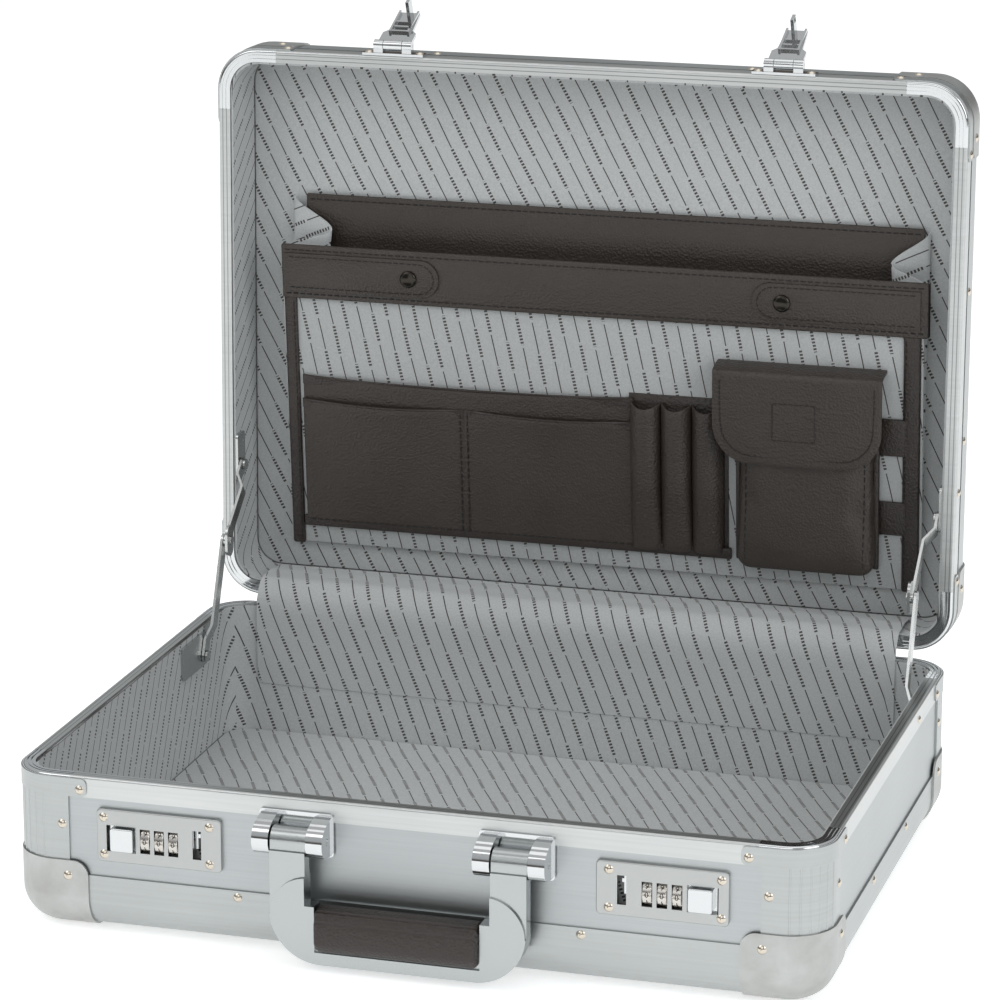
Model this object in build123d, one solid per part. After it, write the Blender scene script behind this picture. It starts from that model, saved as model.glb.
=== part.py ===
"""Aluminium attache case, open on its lid stays.

X runs right, Y runs back and Z runs up. The origin is the centre of the
underside, in the plane the four corner caps rest on. Millimetres.
"""

import os

from build123d import *

# Overall sizes of the rail frames
CASE_WIDTH = 460.0
CASE_DEPTH = 340.0
BASE_DEPTH = 90.3
LID_DEPTH = 48.5
UPRIGHT_RADIUS = 25.0
EDGE_RADIUS = 20.0
OPEN_ANGLE = 91.5
RIM_GAP = 0.3

# Sheet, board, rail and lining sections
SKIN = 1.2
BOARD = 4.0
RAIL_WIDTH = 7.4
RAIL_LEG = 12.0
RAIL_WEB = 2.0
RAIL_INNER = 2.0
RAIL_ROUND = 1.5
LINING_CLEAR = 0.2
LINING_THICK = 1.2
EDGE_FLANGE = 33.1
EDGE_REACH = 34.0
BUTT_GAP = 0.2

# Corner pieces
RIM_CORNER_LEG = 37.0
RIM_COVER_LEG = 46.0
RIM_COVER_THICK = 0.8
UPRIGHT_LEG = 35.0
CAP_LEG = 46.0
CAP_HEIGHT = 41.0
CAP_THICK = 1.2
CAP_ROUND = 9.0
EAR_ROUND = 3.5
BEAD_RADIUS = 0.7

# Rivets
RIVET_HEAD = 2.6
RIVET_DOME = 1.2
RIVET_SHANK = 1.2
RIVET_LENGTH = 4.6
HOLE_CLEARANCE = 0.05
EAR_RIVET = 42.0
UPRIGHT_RIVET = 31.0
CAP_RIVET = 34.0
EDGE_RIVET_X = 97.0
EDGE_RIVET_Y = 45.0

# Rear hinge
HINGE_OFFSET = 3.5
HINGE_BARREL = 3.0
HINGE_PIN = 1.1
HINGE_LEAF = 1.0
HINGE_LEAF_DROP = 11.0
HINGE_HALF = 180.0
KNUCKLES = 10
RUNNING_FIT = 0.06

# Locks
LOCK_INNER = 105.5
LOCK_OUTER = 178.0
LOCK_DROP = 17.0
LOCK_HEIGHT = 30.5
LOCK_THICK = 2.6
SLOT_X = 119.7
SLOT_WIDTH = 5.0
SLOT_HEIGHT = 16.5
SLOT_DROP = 32.8
DIAL_DROP = 33.8
DIAL_RADIUS = 7.5
DIAL_WIDTH = 5.2
DIAL_PITCH = 8.2
DIAL_MIDDLE = 141.7
DIAL_PROUD = 1.2
DIAL_WINDOW = 14.0
AXLE_RADIUS = 2.0
BUTTON_SIZE = 13.3
BUTTON_INNER = 156.2
BUTTON_TRAVEL = 2.5
BUTTON_GAP = 0.9
BUTTON_PROUD = 2.8
CASE_WALL = 1.0
CASE_INSIDE = 12.3

# Handle
HANDLE_X = 62.0
HANDLE_PIVOT_OUT = 9.5
HANDLE_PIVOT_DROP = 20.0
HANDLE_PIN = 2.0
ARM_HALF = 10.0
ARM_GAP = 0.6
CHEEK = 9.4
CHEEK_RADIUS = 9.0
BARREL_RADIUS = 7.2
HANDLE_DROP = 67.0
HANDLE_CORNER = 29.0
GRIP_HALF = 46.5
GRIP_TOP = 34.0
GRIP_BOTTOM = 60.0
GRIP_FRONT = 16.0
GRIP_BACK = -3.5
BRACKET_HALF = 21.0
BRACKET_DROP = 7.0
BRACKET_HEIGHT = 24.5
BRACKET_PLATE = 1.5

# Hasps
HASP_PIVOT_OUT = 6.0
HASP_PIVOT_W = 4.0
HASP_ANGLE = 156.0
HASP_LENGTH = 36.2
HASP_WIDTH = 20.8
HASP_TAIL = 15.0
HASP_END = 12.8
HASP_THICK = 2.2
HASP_PIN = 1.2
HASP_BARREL = 3.2
HASP_KNUCKLE_IN = 6.0
HASP_KNUCKLE_OUT = 11.8
HASP_PLATE_HALF = 19.5
TONGUE_REACH = 33.0

# Lid stays, each point back from the hinge line and up from the base's rim with the lid open
STAY_BASE_AT = (-64.2, -18.9)
STAY_KNEE_AT = (-36.9, 47.4)
STAY_LID_AT = (8.6, 83.7)
STAY_WIDTH = 8.0
STAY_THICK = 1.6
STAY_PIN = 2.0
STAY_WALL_GAP = 0.3

# Organiser, in the lid's own x, height up the lid and depth
ORG_CENTRE = 4.5
ORG_HALF = 200.0
ORG_LOW = 27.0
ORG_BACK_HIGH = 246.0
ORG_BACK_W = 37.0
ORG_BACK_THICK = 2.2
ORG_TOP = 219.0
ORG_LOW_W = 35.0
ORG_TOP_W = 17.0
ORG_FRONT_THICK = 1.6
PEN_TOP = 109.0

# Places worked out from the sizes above
HALF_W = CASE_WIDTH / 2
HALF_D = CASE_DEPTH / 2
RIM_Z = CAP_THICK + BASE_DEPTH
LID_RIM_Z = RIM_Z + RIM_GAP
HINGE_Y = HALF_D + HINGE_OFFSET
HINGE_Z = RIM_Z + RIM_GAP / 2
LINING_BACK = SKIN + BOARD + LINING_CLEAR
LINING_UPPER = RAIL_WIDTH + LINING_CLEAR
LINING_FACE = LINING_UPPER + LINING_THICK
BOARD_FRONT = -HALF_D + SKIN
LOCK_HIGH = RIM_Z - LOCK_DROP
LOCK_LOW = LOCK_HIGH - LOCK_HEIGHT
SLOT_Z = RIM_Z - SLOT_DROP
DIAL_Z = RIM_Z - DIAL_DROP
LOCK_FACE = BOARD_FRONT - LOCK_THICK
DIAL_Y = LOCK_FACE - DIAL_PROUD + DIAL_RADIUS
BUTTON_Z = DIAL_Z + 0.1
HANDLE_PIVOT_Y = -HALF_D - HANDLE_PIVOT_OUT
HANDLE_PIVOT_Z = RIM_Z - HANDLE_PIVOT_DROP
BRACKET_HIGH = RIM_Z - BRACKET_DROP
BRACKET_LOW = BRACKET_HIGH - BRACKET_HEIGHT
HASP_PIVOT_Y = -HALF_D - HASP_PIVOT_OUT
HASP_PIVOT_Z = LID_RIM_Z + HASP_PIVOT_W
INNER_WALL = HALF_W - LINING_FACE
STAY_BASE = (HINGE_Y + STAY_BASE_AT[0], RIM_Z + STAY_BASE_AT[1])
STAY_KNEE = (HINGE_Y + STAY_KNEE_AT[0], RIM_Z + STAY_KNEE_AT[1])
STAY_LID = (HINGE_Y + STAY_LID_AT[0], RIM_Z + STAY_LID_AT[1])

parts = {}


def block(x0, x1, y0, y1, z0, z1):
    """Box between two corners."""
    size = (abs(x1 - x0), abs(y1 - y0), abs(z1 - z0))
    return Pos((x0 + x1) / 2, (y0 + y1) / 2, (z0 + z1) / 2) * Box(*size)


def rod(radius, start, end, axis):
    """Round bar along one axis between two points that share the other two."""
    middle = [(a + b) / 2 for a, b in zip(start, end)]
    length = sum(abs(a - b) for a, b in zip(start, end))
    turn = {"X": Rot(0, 90, 0), "Y": Rot(90, 0, 0), "Z": Rot(0, 0, 0)}[axis]
    return Pos(*middle) * turn * Cylinder(radius, length)


def put(name, *solids):
    """Keep solids under a node name."""
    parts.setdefault(name, []).extend(solids)


def each(shape):
    """The separate solids of a shape."""
    return list(shape.solids())


def outline(offset, low, high):
    """Upright prism on the case outline grown by offset."""
    wide = CASE_WIDTH + 2 * offset
    deep = CASE_DEPTH + 2 * offset
    sketch = RectangleRounded(wide, deep, UPRIGHT_RADIUS + offset)
    return Pos(0, 0, low) * extrude(sketch, high - low)


def tub(depth, offset, high):
    """Prism with a rounded floor edge, its rim plane at z 0."""
    low = -depth - offset
    solid = outline(offset, low, high)
    floor = solid.edges().group_by(Axis.Z)[0]
    return fillet(floor, EDGE_RADIUS + offset)


def quads(shape):
    """A front right piece repeated at the four corners."""
    right = [shape, mirror(shape, Plane.XZ)]
    return right + [mirror(piece, Plane.YZ) for piece in right]


def corner_box(leg, low, high, out, radius, heights):
    """Corner region at front right; its inner edges at the heights are rounded."""
    inner_x = HALF_W - leg
    inner_y = -HALF_D + leg
    box = block(inner_x, HALF_W + out, -HALF_D - out, inner_y, low, high)
    ends = [e for e in box.edges().filter_by(Axis.Y)
            if abs(e.center().X - inner_x) < 0.01
            and any(abs(e.center().Z - z) < 0.01 for z in heights)]
    box = fillet(ends, radius)
    # The round runs on by itself from this edge down the upright one
    ends = [e for e in box.edges().filter_by(Axis.X)
            if abs(e.center().Y - inner_y) < 0.01 and abs(e.center().Z - heights[0]) < 0.01]
    return fillet(ends, radius)


def rivet(x, y, z, normal):
    """Domed rivet whose head sits at the point and faces the normal."""
    ball = (RIVET_HEAD**2 + RIVET_DOME**2) / (2 * RIVET_DOME)
    dome = Pos(0, 0, RIVET_DOME - ball) * Sphere(ball)
    dome = dome & block(-9, 9, -9, 9, 0, 9)
    shank = Pos(0, 0, -RIVET_LENGTH / 2) * Cylinder(RIVET_SHANK, RIVET_LENGTH)
    return Location(Plane(origin=(x, y, z), z_dir=normal)) * (dome + shank)


def rivet_hole(x, y, z, normal):
    """Drill for a rivet."""
    drill = Pos(0, 0, -2) * Cylinder(RIVET_SHANK + HOLE_CLEARANCE, RIVET_LENGTH + 4)
    return Location(Plane(origin=(x, y, z), z_dir=normal)) * drill


def hinge_rivets():
    """Rivet places of one hinge leaf."""
    pitch = (2 * HINGE_HALF - 36) / 7
    return [(-HINGE_HALF + 18 + index * pitch, HALF_D + HINGE_LEAF, -7.5, (0, 1, 0)) for index in range(8)]


def shell_rivets(depth, with_upright):
    """Rivet places of one half, with the rim plane at z 0."""
    places = []
    ear_z = -RAIL_LEG / 2 - 1.8
    cap_height = min(CAP_HEIGHT, depth - RAIL_LEG - BUTT_GAP)
    cap_z = -depth + cap_height - 8.8
    edge_z = -depth + EDGE_FLANGE - 3.9
    for sx in (-1, 1):
        for sy in (-1, 1):
            front = (0, sy, 0)
            side = (sx, 0, 0)
            ear = HALF_D + RIM_COVER_THICK
            cap = HALF_D + CAP_THICK
            places.append((sx * (HALF_W - EAR_RIVET), sy * ear, ear_z, front))
            places.append((sx * (HALF_W + RIM_COVER_THICK), sy * (HALF_D - EAR_RIVET), ear_z, side))
            places.append((sx * (HALF_W - CAP_RIVET), sy * cap, cap_z, front))
            places.append((sx * (HALF_W + CAP_THICK), sy * (HALF_D - CAP_RIVET), cap_z, side))
            if with_upright:
                low = -depth + CAP_HEIGHT
                up_z = (low - RAIL_LEG) / 2 + 2.0
                places.append((sx * (HALF_W - UPRIGHT_RIVET), sy * HALF_D, up_z, front))
                places.append((sx * HALF_W, sy * (HALF_D - UPRIGHT_RIVET), up_z, side))
            places.append((sx * EDGE_RIVET_X, sy * HALF_D, edge_z, front))
            places.append((sx * HALF_W, sy * EDGE_RIVET_Y, edge_z, side))
    return places + hinge_rivets()


def make_half(depth, with_upright, extra_rivets):
    """Shell pieces of one half, rim plane at z 0 and cavity below it."""
    out = {}
    places = shell_rivets(depth, with_upright) + extra_rivets
    drills = Compound([rivet_hole(*place) for place in places])
    inner_x = HALF_W - UPRIGHT_RADIUS - 1
    inner_y = HALF_D - UPRIGHT_RADIUS - 1

    # Boards: four walls and the broad face
    low = -depth + EDGE_RADIUS + 1
    top = -RAIL_WEB - BUTT_GAP
    face = HALF_D - SKIN
    wall = block(-inner_x, inner_x, -face, -face + BOARD, low, top)
    out["front_panel"] = [wall - drills]
    out["rear_panel"] = [mirror(wall, Plane.XZ) - drills]
    face = HALF_W - SKIN
    wall = block(face - BOARD, face, -inner_y, inner_y, low, top)
    out["side_panels"] = [wall - drills, mirror(wall, Plane.YZ) - drills]
    flat_x = HALF_W - EDGE_RADIUS - 1
    flat_y = HALF_D - EDGE_RADIUS - 1
    broad = -depth + SKIN
    out["broad_panel"] = [block(-flat_x, flat_x, -flat_y, flat_y, broad, broad + BOARD)]

    # Rounded edge profiles with a flange on each face
    skin = tub(depth, 0, 5) - tub(depth, -SKIN, 6)
    edge_high = -depth + EDGE_FLANGE
    near = block(-inner_x, inner_x, -HALF_D, -HALF_D + EDGE_REACH, -depth, edge_high)
    mitre = HALF_W - EDGE_REACH - BUTT_GAP
    for sx in (-1, 1):
        notch = block(sx * mitre, sx * HALF_W, -HALF_D + EDGE_RADIUS - 1, 0, -depth - 1, -depth + 3)
        near = near - notch
    front = skin & near
    beside = block(HALF_W - EDGE_REACH, HALF_W, -inner_y, inner_y, -depth, edge_high)
    side = skin & beside
    sides = [side, mirror(side, Plane.YZ)]
    out["edge_profiles"] = [p - drills for p in [front, mirror(front, Plane.XZ)] + sides]

    # Upright corner profiles with half-round beads
    cap_height = min(CAP_HEIGHT, depth - RAIL_LEG - BUTT_GAP)
    if with_upright:
        high = -RAIL_LEG - 0.1
        low = -depth + cap_height - 6
        wrap = outline(0, low, high) - outline(-SKIN, low - 1, high + 1)
        reach = block(HALF_W - UPRIGHT_LEG, HALF_W, -HALF_D, -HALF_D + UPRIGHT_LEG, low, high)
        upright = wrap & reach
        turn_x = HALF_W - UPRIGHT_RADIUS
        turn_y = -HALF_D + UPRIGHT_RADIUS
        bead_low = -depth + cap_height + BUTT_GAP
        for step in range(6):
            spot = Pos(turn_x, turn_y, 0) * Rot(0, 0, -12 - step * 13.2) * Pos(UPRIGHT_RADIUS - 0.35, 0, 0)
            bead = Pos(0, 0, bead_low) * extrude(Circle(BEAD_RADIUS), high - bead_low)
            upright = upright + spot * bead
        out["corner_profiles"] = [p - drills for p in quads(upright)]

    # Ball corner caps
    crust = tub(depth, CAP_THICK, 5) - tub(depth, 0, 6)
    cap_top = -depth + cap_height
    box = corner_box(CAP_LEG, -depth - CAP_THICK, cap_top, CAP_THICK, CAP_ROUND, [cap_top])
    out["ball_corners"] = [p - drills for p in quads(crust & box)]

    # Rim rails, a channel that holds the boards
    ring = outline(0, -RAIL_LEG, 0)
    ring = fillet(ring.edges().group_by(Axis.Z)[-1], RAIL_ROUND)
    ring = ring - outline(-RAIL_WIDTH, -RAIL_LEG - 1, 1)
    slot = outline(-SKIN, -RAIL_LEG - 1, -RAIL_WEB)
    slot = slot - outline(-(RAIL_WIDTH - RAIL_INNER), -RAIL_LEG - 2, 0)
    channel = ring - slot
    run_x = HALF_W - RIM_CORNER_LEG
    run_y = HALF_D - RIM_CORNER_LEG
    rail = channel & block(-run_x, run_x, -HALF_D, -HALF_D + 10, -RAIL_LEG, 0)
    rails = [rail, mirror(rail, Plane.XZ)]
    rail = channel & block(HALF_W - 10, HALF_W, -run_y, run_y, -RAIL_LEG, 0)
    rails = rails + [rail, mirror(rail, Plane.YZ)]
    out["rim_rails"] = [p - drills for p in rails]

    # Bright corner pieces between the rails, with two grooves
    lead = channel & block(run_x + 0.05, HALF_W, -HALF_D, -run_y - 0.05, -8, 0)
    for inset in (2.3, 4.5):
        groove = outline(-inset, -0.6, 1) - outline(-inset - 0.8, -1, 2)
        lead = lead - groove
    out["rim_corners"] = [p - drills for p in quads(lead)]

    # Corner covers with riveted ears over the rail ends
    low = -RAIL_LEG + 0.1
    high = -RAIL_ROUND + 0.1
    wrap = outline(RIM_COVER_THICK, low, high) - outline(0, low - 1, high + 1)
    box = corner_box(RIM_COVER_LEG, low, high, RIM_COVER_THICK, EAR_ROUND, [low, high])
    out["rim_covers"] = [p - drills for p in quads(wrap & box)]

    # Lining tray
    shell = tub(depth, -LINING_BACK, -RAIL_LEG - 0.2)
    shell = shell + outline(-LINING_UPPER, -RAIL_LEG - 0.3, -1.2)
    out["lining"] = [shell - tub(depth, -LINING_FACE, 5)]
    out["rivets"] = [rivet(*place) for place in places]
    return out


def knuckle_row(first):
    """Hinge leaf with every other knuckle, below the rim plane of its half."""
    leaf = block(-HINGE_HALF, HINGE_HALF, HALF_D, HALF_D + HINGE_LEAF, -HINGE_LEAF_DROP, -0.1)
    pitch = 2 * HINGE_HALF / KNUCKLES
    for index in range(KNUCKLES):
        left = -HINGE_HALF + index * pitch + 0.2
        right = left + pitch - 0.4
        ends = ((left, HINGE_Y, RIM_GAP / 2), (right, HINGE_Y, RIM_GAP / 2))
        if index % 2 == first:
            tab = block(left, right, HALF_D, HINGE_Y, RIM_GAP / 2 - HINGE_BARREL, -0.1)
            leaf = leaf + rod(HINGE_BARREL, *ends, "X") + tab
        else:
            ends = ((left - 0.4, HINGE_Y, RIM_GAP / 2), (right + 0.4, HINGE_Y, RIM_GAP / 2))
            leaf = leaf - rod(HINGE_BARREL + 0.3, *ends, "X")
    for place in hinge_rivets():
        leaf = leaf - rivet_hole(*place)
    ends = ((-HINGE_HALF - 1, HINGE_Y, RIM_GAP / 2), (HINGE_HALF + 1, HINGE_Y, RIM_GAP / 2))
    return leaf - rod(HINGE_PIN + RUNNING_FIT, *ends, "X")


def to_lid(shape):
    """Turn a half built rim up into the lid, closed on the base."""
    return Pos(0, 0, LID_RIM_Z) * mirror(shape, Plane.XY)


def to_base(shape):
    """Raise a half built rim up to the base rim plane."""
    return Pos(0, 0, RIM_Z) * shape


def swing(shape, angle, y, z):
    """Turn about a line along X."""
    return Pos(0, y, z) * Rot(angle, 0, 0) * Pos(0, -y, -z) * shape


def opened(shape):
    """Swing a closed lid piece to the open rest pose."""
    return swing(shape, -OPEN_ANGLE, HINGE_Y, HINGE_Z)


def lid_block(x0, x1, v0, v1, w0, w1):
    """Box in the closed lid from its height up the lid and its depth."""
    return block(x0, x1, HALF_D - v1, HALF_D - v0, LID_RIM_Z + w0, LID_RIM_Z + w1)


# Shells of the two halves; each stay bracket has one rivet through the side
stay_rivets = [(sx * HALF_W, 78.0, -7.5, (sx, 0, 0)) for sx in (-1, 1)]
lid_stay_v = 82.0
lid_stay_rivets = [(sx * HALF_W, HALF_D - lid_stay_v - 14, -7.5, (sx, 0, 0)) for sx in (-1, 1)]
base = make_half(BASE_DEPTH, True, stay_rivets)
lid = make_half(LID_DEPTH, False, lid_stay_rivets)

# Lock cut-outs in the base board and room for the lock cases in its lining
case_low = LOCK_LOW + 2.5
case_high = LOCK_HIGH - 2.5
case_left = LOCK_INNER + 2.5
case_right = LOCK_OUTER - 2.5
case_back = BOARD_FRONT + CASE_INSIDE + CASE_WALL
for side in (-1, 1):
    cut = block(side * (case_left - 0.1), side * (case_right + 0.1), -HALF_D - 9, case_back + 0.1,
                case_low - 0.1, case_high + 0.1)
    hump = block(side * (LOCK_INNER - 1), side * (LOCK_OUTER + 1), -HALF_D + LINING_FACE - 0.5,
                 case_back + 2.1, case_low - 3, case_high + 3)
    low_cut = Pos(0, 0, -RIM_Z) * cut
    low_hump = Pos(0, 0, -RIM_Z) * hump
    base["front_panel"] = [p - low_cut for p in base["front_panel"]]
    base["lining"] = [p + low_hump - low_cut for p in base["lining"]]

for name, solids in base.items():
    if name == "broad_panel":
        name = "bottom_panel"
    put("base_" + name, *[to_base(s) for s in solids])
for name, solids in lid.items():
    if name == "broad_panel":
        name = "top_panel"
    put("lid_" + name, *[opened(to_lid(s)) for s in solids])

# Rear hinge
put("base_hinge_leaf", to_base(knuckle_row(0)))
lid_leaf = mirror(knuckle_row(1), Plane.XY)
put("lid_hinge_leaf", opened(Pos(0, 0, LID_RIM_Z) * lid_leaf))
put("hinge_pin", rod(HINGE_PIN, (-HINGE_HALF, HINGE_Y, HINGE_Z), (HINGE_HALF, HINGE_Y, HINGE_Z), "X"))


def mirrored(side, shape):
    """Right-hand shape, or its mirror image for the left."""
    return shape if side > 0 else mirror(shape, Plane.YZ)


# Locks, built for the right and mirrored for the left
plate = Pos((LOCK_INNER + LOCK_OUTER) / 2, BOARD_FRONT, (LOCK_LOW + LOCK_HIGH) / 2)
plate = plate * Rot(90, 0, 0) * extrude(
    RectangleRounded(LOCK_OUTER - LOCK_INNER, LOCK_HIGH - LOCK_LOW, 2.5), LOCK_THICK)
plate = fillet(plate.edges().group_by(Axis.Y)[0], 0.8)
button_low = BUTTON_Z - BUTTON_SIZE / 2
button_high = BUTTON_Z + BUTTON_SIZE / 2
button_outer = BUTTON_INNER + BUTTON_SIZE
window = block(BUTTON_INNER - BUTTON_GAP, button_outer + BUTTON_TRAVEL + 0.4, LOCK_FACE - 1,
               BOARD_FRONT + 1, button_low - BUTTON_GAP, button_high + BUTTON_GAP)
plate = plate - window
dial_centres = [DIAL_MIDDLE + DIAL_PITCH * step for step in (-1, 0, 1)]
for centre in dial_centres:
    plate = plate - block(centre - DIAL_WIDTH / 2 - 0.3, centre + DIAL_WIDTH / 2 + 0.3, LOCK_FACE - 1,
                          BOARD_FRONT + 1, DIAL_Z - DIAL_WINDOW / 2, DIAL_Z + DIAL_WINDOW / 2)
plate = plate - block(SLOT_X - SLOT_WIDTH / 2, SLOT_X + SLOT_WIDTH / 2, LOCK_FACE - 1, BOARD_FRONT + 1,
                      SLOT_Z - SLOT_HEIGHT / 2, SLOT_Z + SLOT_HEIGHT / 2)
plate_rivets = [(LOCK_INNER + 7, z) for z in (LOCK_LOW + 4.3, LOCK_HIGH - 4.8)]
plate_rivets += [(LOCK_OUTER - 4, z) for z in (LOCK_LOW + 4.3, LOCK_HIGH - 4.8)]
for x, z in plate_rivets:
    plate = plate - rivet_hole(x, LOCK_FACE, z, (0, -1, 0))

housing = block(case_left, case_right, BOARD_FRONT, case_back, case_low, case_high)
housing = housing - block(case_left + CASE_WALL, case_right - CASE_WALL, BOARD_FRONT - 1,
                          case_back - CASE_WALL, case_low + CASE_WALL, case_high - CASE_WALL)
tab_inner = dial_centres[0] - DIAL_WIDTH / 2 - 1.0
tab_outer = dial_centres[2] + DIAL_WIDTH / 2 + 1.0
for x in (tab_inner, tab_outer):
    lug = block(x - 0.6, x + 0.6, BOARD_FRONT + 0.3, case_back - CASE_WALL, case_low + CASE_WALL, DIAL_Z + 4)
    housing = housing + lug
axle_ends = ((tab_inner - 1, DIAL_Y, DIAL_Z), (tab_outer + 1, DIAL_Y, DIAL_Z))
housing = housing - rod(AXLE_RADIUS + 0.02, *axle_ends, "X")
for x, z in plate_rivets:
    housing = housing - rivet_hole(x, LOCK_FACE, z, (0, -1, 0))
axle = rod(AXLE_RADIUS, (tab_inner - 0.6, DIAL_Y, DIAL_Z), (tab_outer + 0.6, DIAL_Y, DIAL_Z), "X")

# Push button with its slide bar and catch hook
cap = block(BUTTON_INNER, button_outer, LOCK_FACE - BUTTON_PROUD, BOARD_FRONT + 2, button_low, button_high)
cap = fillet(cap.edges().filter_by(Axis.Y), 1.2)
cap = fillet(cap.edges().group_by(Axis.Y)[0], 0.7)
flange = block(BUTTON_INNER - 1.2, button_outer + 1.6, BOARD_FRONT + 0.3, BOARD_FRONT + 1.5,
               button_low - 1.5, button_high + 1.5)
bar_low = DIAL_Z + DIAL_RADIUS + 1.2
bar_high = bar_low + 4.0
neck = block(BUTTON_INNER + 4, button_outer - 2, BOARD_FRONT + 0.8, BOARD_FRONT + 3.2, BUTTON_Z, bar_high)
bar = block(SLOT_X + 0.5, button_outer - 2, BOARD_FRONT + 1.2, BOARD_FRONT + 3.2, bar_low, bar_high)
hook = block(SLOT_X + 0.5, SLOT_X + 2.3, BOARD_FRONT + 1.2, BOARD_FRONT + 4.2, SLOT_Z - 3.2, bar_high)
nose = block(SLOT_X - 0.8, SLOT_X + 0.6, BOARD_FRONT + 1.6, BOARD_FRONT + 3.8, SLOT_Z + 3.0, SLOT_Z + 5.2)
slider = cap + flange + neck + bar + hook + nose

dial = rod(DIAL_RADIUS, (0, DIAL_Y, DIAL_Z), (DIAL_WIDTH, DIAL_Y, DIAL_Z), "X")
dial = chamfer(dial.edges().filter_by(GeomType.CIRCLE), 0.4)
for step in range(10):
    groove = rod(0.5, (-1, DIAL_Y, DIAL_Z + DIAL_RADIUS), (DIAL_WIDTH + 1, DIAL_Y, DIAL_Z + DIAL_RADIUS), "X")
    dial = dial - swing(groove, 36 * step + 18, DIAL_Y, DIAL_Z)
dial = dial - rod(AXLE_RADIUS + RUNNING_FIT, (-1, DIAL_Y, DIAL_Z), (DIAL_WIDTH + 1, DIAL_Y, DIAL_Z), "X")

# Leaf spring that returns the button, on the back wall of the lock case
spring_back = case_back - CASE_WALL
strip = block(BUTTON_INNER + 1, button_outer - 1, spring_back - 0.4, spring_back, BUTTON_Z - 3, BUTTON_Z + 3)
bow = Pos(BUTTON_INNER + 2, spring_back - 0.5, BUTTON_Z) * Rot(0, 0, -24) * block(0, 9, -0.2, 0.2, -3, 3)
strip = strip + bow

for side in (-1, 1):
    put("lock_plates", mirrored(side, plate))
    put("lock_cases", mirrored(side, housing))
    put("dial_axles", mirrored(side, axle))
    put("button_springs", mirrored(side, strip))
    hand = "right" if side > 0 else "left"
    put("button_" + hand, mirrored(side, slider))
    for index, centre in enumerate(dial_centres):
        wheel = Pos(side * centre - DIAL_WIDTH / 2, 0, 0) * dial
        put("dial_%s_%d" % (hand, index + 1), wheel)
    for x, z in plate_rivets:
        put("base_rivets", rivet(side * x, LOCK_FACE, z, (0, -1, 0)))

# Handle brackets: back plate, two cheeked knuckles and a pin
pin_reach = ARM_HALF + ARM_GAP + CHEEK
back = block(-BRACKET_HALF, BRACKET_HALF, -HALF_D - BRACKET_PLATE, -HALF_D, BRACKET_LOW, BRACKET_HIGH)
back = fillet(back.edges().filter_by(Axis.Y), 2.0)
foot = block(-BRACKET_HALF + 2, BRACKET_HALF - 2, -HALF_D - 1, BOARD_FRONT, BRACKET_LOW + 1,
             RIM_Z - RAIL_LEG - 0.3)
top_point = (-HALF_D, BRACKET_HIGH - 1.5)
cheek = make_face(Polyline(top_point, (-HALF_D, BRACKET_LOW + 1), (HANDLE_PIVOT_Y, BRACKET_LOW + 2.5),
                           (HANDLE_PIVOT_Y - 6.2, HANDLE_PIVOT_Z + 6.5), (HANDLE_PIVOT_Y, BRACKET_HIGH - 3.4),
                           close=True))
cheek = extrude(Plane.YZ * cheek, CHEEK)
handle_pivot = (HANDLE_PIVOT_Y, HANDLE_PIVOT_Z)
cheek = cheek + rod(CHEEK_RADIUS, (0, *handle_pivot), (CHEEK, *handle_pivot), "X")
bracket = back + foot
bracket = bracket + Pos(ARM_HALF + ARM_GAP, 0, 0) * cheek
bracket = bracket + Pos(-ARM_HALF - ARM_GAP - CHEEK, 0, 0) * cheek
bore_ends = ((-30, HANDLE_PIVOT_Y, HANDLE_PIVOT_Z), (30, HANDLE_PIVOT_Y, HANDLE_PIVOT_Z))
bracket = bracket - rod(HANDLE_PIN + 0.02, *bore_ends, "X")
pin = rod(HANDLE_PIN, (-pin_reach + 0.5, HANDLE_PIVOT_Y, HANDLE_PIVOT_Z),
          (pin_reach - 0.5, HANDLE_PIVOT_Y, HANDLE_PIVOT_Z), "X")
for side in (-1, 1):
    put("handle_brackets", Pos(side * HANDLE_X, 0, 0) * bracket)
    put("handle_pins", Pos(side * HANDLE_X, 0, 0) * pin)

# Handle frame, hanging straight down: arms, rounded corners and bottom bar
arm_front = HANDLE_PIVOT_Y - 8.5
arm_back = HANDLE_PIVOT_Y - 0.5
body_front = HANDLE_PIVOT_Y - 10.0
outer = HANDLE_X + ARM_HALF
frame_low = HANDLE_PIVOT_Z - HANDLE_DROP
loop = block(-outer, outer, arm_front, arm_back, frame_low, HANDLE_PIVOT_Z - BARREL_RADIUS + 2.6)
low_edges = [e for e in loop.edges().filter_by(Axis.Y) if e.center().Z < frame_low + 1]
loop = fillet(low_edges, HANDLE_CORNER)
sweep_z = frame_low + HANDLE_CORNER + 3
thick = block(-outer, outer, body_front, arm_back + 1.5, frame_low, HANDLE_PIVOT_Z - 12)
low_edges = [e for e in thick.edges().filter_by(Axis.Y) if e.center().Z < frame_low + 1]
thick = fillet(low_edges, HANDLE_CORNER)
for side in (-1, 1):
    round_low = rod(22.0, (side * (outer - 22.5), body_front - 1, sweep_z - 5),
                    (side * (outer - 22.5), arm_back + 3, sweep_z - 5), "Y")
    keep = round_low if side < 0 else keep + round_low
keep = keep + block(-outer + 22, outer - 22, body_front - 1, arm_back + 3, frame_low - 1, sweep_z + 17)
keep = keep + block(-outer, outer, body_front - 1, arm_back + 3, frame_low - 1, sweep_z - 5)
loop = loop + (thick & keep)
grip_top = HANDLE_PIVOT_Z - GRIP_TOP
grip_low = HANDLE_PIVOT_Z - GRIP_BOTTOM
opening = block(-outer + 2 * ARM_HALF, outer - 2 * ARM_HALF, body_front - 2, arm_back + 4, grip_top,
                HANDLE_PIVOT_Z + 9)
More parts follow.
